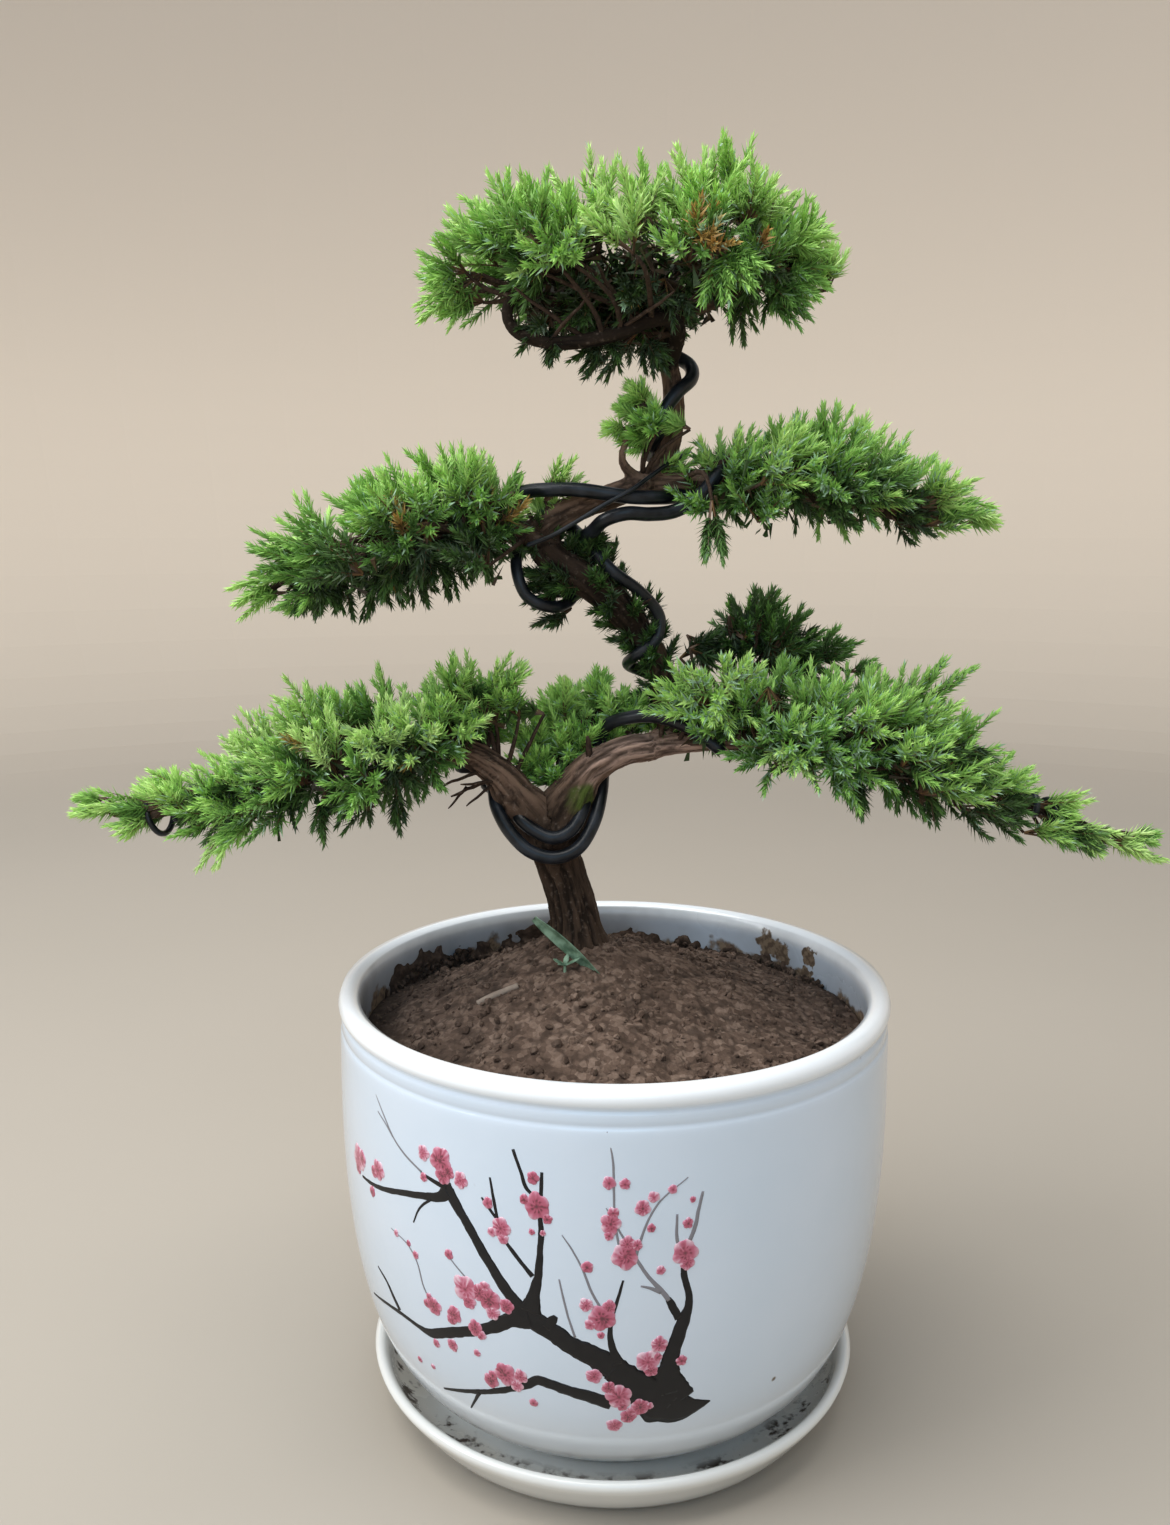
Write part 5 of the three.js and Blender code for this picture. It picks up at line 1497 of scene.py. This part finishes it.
def needles_on(foot, tip, tint, rng, pale_share):
    """Needles in whorls of three along each shoot, wide open at its foot and closing at its tip.

    A needle is a thin tetrahedron from its root on the stem, leaning away from the stem by 56 degrees at the
    foot and 18 at the tip. On some the side that faces the stem is pale. Returns points, faces and the map
    place of each corner.
    """
    count = len(foot)
    axis = unit(tip - foot)
    side = unit(np.cross(axis, unit(rng.normal(size=(count, 3)))))
    over = np.cross(axis, side)
    per = WHORLS * 3 + 3
    whorl = np.minimum(np.arange(per) // 3, WHORLS)
    share = np.clip(0.04 + 0.96 * (whorl + 0.5 * rng.uniform(-1, 1, (count, per))) / WHORLS, 0, 1)
    turn = 2 * np.pi * (np.arange(per) % 3) / 3 + np.pi / 3 * whorl + rng.normal(0, 0.28, (count, per))
    turn = turn + rng.uniform(0, 2 * np.pi, (count, 1))
    bow = 0.9 * np.sin(np.pi * share)[..., None] * unit(rng.normal(size=(count, 1, 3)))
    root = foot[:, None] + (tip - foot)[:, None] * share[..., None] + bow
    open_ = np.radians(blend(56, 18, share**1.2) + rng.normal(0, 7, (count, per)))
    spoke = np.cos(turn)[..., None] * side[:, None] + np.sin(turn)[..., None] * over[:, None]
    way = np.cos(open_)[..., None] * axis[:, None] + np.sin(open_)[..., None] * spoke
    size = NEEDLE_LENGTH * blend(0.8, 1.0, np.sin(np.pi * share**0.8)) * blend(1.0, 0.7, share)
    size = size * rng.uniform(0.8, 1.15, (count, per))
    flat = unit(np.cross(way, spoke))
    ridge = np.cross(way, flat)
    ridge = ridge * np.sign(dot(ridge, spoke))
    axes = np.stack([flat, ridge, way], -2).reshape(-1, 3, 3)
    wide = NEEDLE_WIDTH * rng.uniform(0.8, 1.15, (count, per))
    sizes = np.stack([wide, -0.55 * wide, size], -1).reshape(-1, 3)
    points, faces = scattered(NEEDLE_CORNERS, NEEDLE_FACES, root.reshape(-1, 3), axes, sizes)
    pick = tint[:, None] + 0.10 * (share - 0.5) + rng.normal(0, 0.035, (count, per))
    pick = np.where(tint[:, None] > 0.3, np.maximum(pick, LIVE_PICK), np.minimum(pick, DEAD_PICK)).ravel()
    bloom = (rng.uniform(0, 1, len(pick)) < pale_share) & (pick > 0.5)
    by_face = np.stack([np.where(bloom, PALE_PICK, pick), pick, pick, pick], 1)
    first = np.repeat(np.clip(by_face, 0.0, 0.995)[:, :, None], 3, 2)
    # Painted shade: the second number is lower, so the colour darker, towards the root and the shoot's foot
    second = np.broadcast_to((NEEDLE_FACES == 3) * 0.55, first.shape)
    level = (rng.uniform(0.0, 0.1, len(pick)) + 0.34 * share.ravel())[:, None, None]
    second = np.clip(second + level, 0.01, 0.99)
    return points, faces, np.stack([first, second], -1).reshape(-1, 2)


def stems_on(foot, tip, rng):
    """A thin three-sided tapering stem for each shoot."""
    axis = unit(tip - foot)
    side = unit(np.cross(axis, [0.31, 0.42, 0.85]))
    axes = np.stack([side, np.cross(axis, side), axis], 1)
    root = foot - 0.45 * (tip - foot)
    long = np.linalg.norm(tip - root, axis=1)
    thick = rng.uniform(0.35, 0.55, len(foot))
    sizes = np.stack([thick, thick, 0.97 * long], 1)
    points, faces = scattered(STEM_CORNERS, NEEDLE_FACES, root, axes, sizes)
    corners = len(foot) * NEEDLE_FACES.size
    return points, faces, np.stack([rng.uniform(0.02, 0.14, corners), np.full(corners, 0.8)], 1)


def add_inner_litter_and_shade(roots, look):
    """Dead needles and scraps caught round the twigs inside the pads, dark brown and dark green: partly
    painted shade.
    """
    rng = np.random.default_rng(31)
    place = np.repeat(roots, 8, 0) + rng.normal(0, 2.6, (len(roots) * 8, 3))
    out = unit(rng.normal(size=(HOLLOW_SHADE_SCRAPS, 3))) * HOLLOW_REACH
    place = np.vstack([place, CROWN_HOLLOW + out * rng.uniform(0.3, 1, (HOLLOW_SHADE_SCRAPS, 1))])
    count = len(place)
    sizes = np.stack([rng.uniform(*span, count) for span in ((1.2, 2.2), (0.9, 1.6), (4.5, 8))], 1)
    shape = scattered(NEEDLE_CORNERS - [0, 0, 0.5], NEEDLE_FACES, place, random_axes(count, rng), sizes)
    brown = rng.uniform(0, 1, count) < 0.45
    pick = np.where(brown, rng.uniform(0.0, 0.08, count), rng.uniform(0.35, 0.4, count))
    first = np.repeat(pick, NEEDLE_FACES.size)
    places = np.stack([first, np.full(len(first), 0.4)], 1)
    add_piece("inner_litter_and_shade", shape, look, smooth=False, places=places)


def died_back(tip, tint, rng):
    """Colour numbers with brown ones put in near the dead spots."""
    for centre, radius in DEAD_SPOTS:
        hit = np.linalg.norm(tip - centre, axis=1) < radius * rng.uniform(0.6, 1.15, len(tip))
        hit &= rng.uniform(0, 1, len(tip)) < 0.5
        tint = np.where(hit, rng.uniform(0.14, 0.27, len(tip)), tint)
    return tint


def dress(foot, tip, tint, rng, name, stands_for, look, pale_share=0.1):
    """Needles and stems on these shoots, as one piece."""
    needles = needles_on(foot, tip, tint, rng, pale_share)
    stems = stems_on(foot, tip, rng)
    points, faces = joined([needles[:2], stems[:2]])
    places = np.vstack([needles[2], stems[2]])
    add_piece(name, (points, [np.vstack(faces)]), look, stands_for, smooth=False, places=places)


def sprigs_of(name, rng):
    """Shoots of a pad's sprigs, as rows of feet, tips and colour numbers, and the sprigs' roots."""
    shoots, roots = [], []
    for start, end, number, spread, shade in SPRIGS.get(name, []):
        start, end = np.array([start], float), np.array([end], float)
        far = np.linalg.norm(end - start, axis=1)
        foot, tip, _ = fanned(start, unit(end - start), far, [number], np.array([spread]), rng)
        shoots.append((foot, tip, np.full(number, shade) + rng.normal(0, 0.03, number)))
        roots.append(start)
    return shoots, roots


def add_foliage():
    """Needled shoots of every pad, then twigs to their roots, litter and painted shade among them, and the
    trunk's own.
    """
    look = needle_look()
    twigs, inner = [], []
    for name, plan in PADS.items():
        rng = np.random.default_rng(plan["seed"])
        stations = TIERS[name]
        foot, tip, light, own, root, thick = tufts_of(stations, plan, rng)
        inner.append(root[thick])
        # Painted light and shade: the colour number runs from the pad's low to its high value with the
        # painted light
        tint = blend(plan["low"], plan["high"], light) + own + 0.08 * cloud(tip, 26, 2, 71)
        tint = np.maximum(tint + rng.normal(0, 0.03, len(tip)), 0.35)
        keep = ~((light < 0.1) & (rng.uniform(0, 1, len(foot)) < 0.25))
        shoots = [(foot[keep], tip[keep], died_back(tip, tint, rng)[keep])]
        more, sprig_roots = sprigs_of(name, rng)
        foot, tip, tint = (np.concatenate(v) for v in zip(*shoots, *more))
        label = name.replace("_foliage", "") + "_shoots"
        dress(foot, tip, tint, rng, label, [name], look, plan.get("pale", 0.1))
        root = np.vstack([root, *sprig_roots])
        inward = np.array([np.sign(stations[-1][0] - stations[0][0]) * 13, 0, -4])
        rows = limb_rows(plan["limbs"])
        twigs.append((rows[nearest_rows(root + inward, rows[:, PLACE]), PLACE], root))
    add_twigs(twigs)
    add_inner_litter_and_shade(np.vstack(inner), look)
    add_trunk_shoots(look)


def add_trunk_shoots(look):
    """Short shoots that stand straight out of the trunk under the mid pads."""
    rng = np.random.default_rng(55)
    rows = limb_rows([LIMBS.index(TRUNK)])
    rows = rows[(rows[:, 2] > SHOOTS_FROM) & (rows[:, 2] < SHOOTS_TO)]
    rows = rows[rng.integers(0, len(rows), TRUNK_SHOOTS)]
    tangent = rows[:, TANGENT]
    spoke = square_to(unit(rng.normal(size=(TRUNK_SHOOTS, 3))), tangent)
    foot = rows[:, PLACE] + spoke * (rows[:, [GIRTH]] - 0.8)
    tip = foot + (spoke + 0.5 * tangent + 0.3 * UP) * rng.uniform(3.5, 8, TRUNK_SHOOTS)[:, None]
    # Painted shade: dark colour numbers for the shoots under the mid pads
    dress(foot, tip, rng.uniform(0.35, 0.46, TRUNK_SHOOTS), rng, "trunk_shoots", [], look)


def add_twigs(runs):
    """Bare twigs from the limbs out to each tuft, thin bars that sway a little, and the bare dead twigs."""
    rng = np.random.default_rng(77)
    start = np.vstack([a for a, _ in runs])
    end = np.vstack([b for _, b in runs])
    share = np.linspace(0, 1, 7)[None, :, None]
    far = np.linalg.norm(end - start, axis=1)[:, None, None]
    sway = np.sin(np.pi * share) * rng.normal(0, 0.09, (len(start), 1, 3)) * far
    lines = start[:, None] + (end - start)[:, None] * share + sway
    shapes = [tube(line, np.linspace(1.0, 0.5, 7), 5) for line in lines]
    for first, last, girth in DEAD_TWIGS:
        line = blend(np.array(first, float), np.array(last, float), np.linspace(0, 1, 9)[:, None])
        line = line + 0.9 * np.stack([cloud(line + 9 * k, 5, 2, 81 + k) for k in range(3)], 1)
        shapes.append(tube(line, girth * np.array([1.3, 1.1, 1, 0.95, 0.9, 0.85, 0.75, 0.65, 0.4]), 6))
    points, faces = joined(shapes)
    grain = points * [1, 1, 0.4] * MM
    hue = LIMB_BROWN * 0.3 * (1 + 0.4 * cloud(points, 6, 2, 79))[:, None]
    add_piece("twigs", (points, faces), bark_look("twig_bark"), values={"grain": grain, "hue": hue})


# Litter on the soil

BLADE_FOOT = (-4.2, -12.4)
BLADE_LEAN = math.radians(-50)
BLADE_LENGTH = 29
SEEDLING_FOOT = (-16, -13.6)
# Leaflets: direction, tilt and size
SEEDLING_LEAVES = [(0.4, 0.35, 3.6), (2.4, 0.2, 3.2), (4.3, 0.4, 3.4), (1.3, 0.9, 2.6), (3.4, 0.8, 2.4)]
STALK = [(-44, -17.4), (-41, -16.2), (-36.5, -15.4), (-31, -14.6)]


def leaf_rings(path, wide, broad, face, thick, fold=0.0, sides=8):
    """A leaf's rings along its path: ellipses this wide and thick, folded up towards both edges by |cos|."""
    ring = np.linspace(0, 2 * np.pi, sides, endpoint=False)[None, :, None]
    wide = wide[:, None, None]
    rings = path[:, None] + np.cos(ring) * wide * broad + fold * np.abs(np.cos(ring)) * wide * face
    return rings + thick * np.sin(ring) * face


def add_blade(look):
    """A narrow leaf that leans over at the foot of the trunk, folded along its middle."""
    root = np.array([*BLADE_FOOT, soil_height(*BLADE_FOOT) - 2])
    way = unit(np.array([math.sin(BLADE_LEAN), 0.2, math.cos(BLADE_LEAN)]))
    share = np.linspace(0, 1, 26)
    path = root + BLADE_LENGTH * share[:, None] * way + np.outer(np.sin(np.pi * share), [0, -0.5, 0.9])
    wide = 2.8 * np.sin(np.pi * np.clip(0.04 + 0.84 * share, 0, 1)) ** 0.65
    broad = square_to(np.array([0.0, 1, 0]), way)
    broad = unit(0.55 * broad + 0.83 * unit(np.cross(way, broad)))
    rings = leaf_rings(path, wide, broad, np.cross(way, broad), 0.22, 0.35, 12)
    add_piece("leaf_blade", (with_poles(rings), skin_faces(*rings.shape[:2])), look, ["green_blade"])


def add_seedling(look):
    """A short stem with five leaflets."""
    base = np.array([*SEEDLING_FOOT, soil_height(*SEEDLING_FOOT)])
    shapes = [tube(base + np.outer(np.linspace(-2.5, 4, 6), UP), np.linspace(0.6, 0.4, 6), 8)]
    for turn, tilt, size in SEEDLING_LEAVES:
        out = unit(np.array([math.cos(turn), math.sin(turn), tilt]))
        share = np.linspace(0, 1, 9)
        path = base + 3.2 * UP + 1.6 * size * share[:, None] * out
        wide = 0.95 * np.sin(np.pi * (0.06 + 0.88 * share)) ** 0.8
        broad = unit(np.cross(out, UP))
        rings = leaf_rings(path, wide, broad, np.cross(broad, out), 0.25)
        shapes.append((with_poles(rings), skin_faces(*rings.shape[:2])))
    add_piece("seedling_sprig", joined(shapes), look, ["seedling"])


def add_litter():
    """A folded blade, a seedling's leaflets and a dry stalk."""
    leaf = leaf_look()
    add_blade(leaf)
    add_seedling(leaf)
    line = np.array(STALK)
    path = np.column_stack([line, soil_height(line[:, 0], line[:, 1]) + 0.5])
    add_piece("dry_stalk", tube(smooth_line(path, 0.8), 1.15, 8), straw_look(), ["straw"])


# Stage

FLOOR_SIDES = 96
# Soft lamps: name, place in metres, size, power and colour
LAMPS = [
    ("window", (-1.25, -0.45, 0.95), 0.9, 12, (0.94, 0.97, 1.0)),
    ("sky", (-0.25, -0.1, 1.6), 1.2, 22, (1.0, 0.99, 0.96)),
    ("front", (-0.1, -1.5, 0.9), 1.1, 4.6, (0.28, 0.65, 1.0)),
]
# All lamps aim at this point, in metres
AIM = np.array([0, 0, 0.2])


def add_floor():
    """A pale floor that curves up far round the object, with painted light there, where the lamps reach less.
    """
    radii = np.concatenate([np.linspace(1, 1300, 24), np.linspace(1400, 3600, 28)])
    height = 3400 * ease(radii, 1300, 5200)
    rings = turned(np.stack([radii, height - 0.4], 1), FLOOR_SIDES)
    quads, fan, _ = skin_faces(len(rings), FLOOR_SIDES)
    look, start, shader, place = new_look("pale_floor")
    colour = start.tint((0.385, 0.345, 0.29), (0.415, 0.37, 0.315), start.grains(place, 3, 2))
    # Painted light: lighter far off, where the lamps reach less
    colour = start.tint(colour, (0.90, 0.78, 0.64), place.vector("LENGTH", out="Value").rise(0.9, 2.4))
    feed(start, shader, Base_Color=colour, Roughness=0.85)
    mesh = bare_mesh("floor", with_poles(rings)[:-1], [quads, fan])
    mesh.materials.append(look)
    linked("floor", mesh)


def add_lights():
    """A cool even sky and the soft lamps."""
    world = bpy.data.worlds.new("room")
    bpy.context.scene.world = world
    world.use_nodes = True
    sky = world.node_tree.nodes["Background"].inputs
    sky["Color"].default_value = (0.90, 0.94, 1.0, 1)
    sky["Strength"].default_value = 0.55
    for name, place, size, power, colour in LAMPS:
        data = bpy.data.lights.new(name, "AREA")
        data.size = size
        data.energy = power
        data.color = colour
        lamp = linked(name, data)
        lamp.location = place
        x, y, z = AIM - place
        lamp.rotation_euler = (math.acos(-z / np.linalg.norm([x, y, z])), 0, math.atan2(x, -y) + math.pi)


def add_camera():
    """The camera at the photograph's place."""
    data = bpy.data.cameras.new("camera")
    data.sensor_width = 36
    data.lens = CAMERA_LENS
    camera = linked("camera", data)
    camera.location = [c * MM for c in CAMERA_PLACE]
    camera.rotation_euler = (math.pi / 2 - CAMERA_DIP, 0, CAMERA_TURN)
    bpy.context.scene.camera = camera


def add_stage():
    """Floor, lights and camera, seen with plain colours."""
    add_floor()
    add_lights()
    add_camera()
    bpy.context.scene.view_settings.view_transform = "Standard"


add_stage()
add_pot()
add_saucer()
add_ornament()
add_soil()
add_wood()
add_wires()
add_foliage()
add_litter()
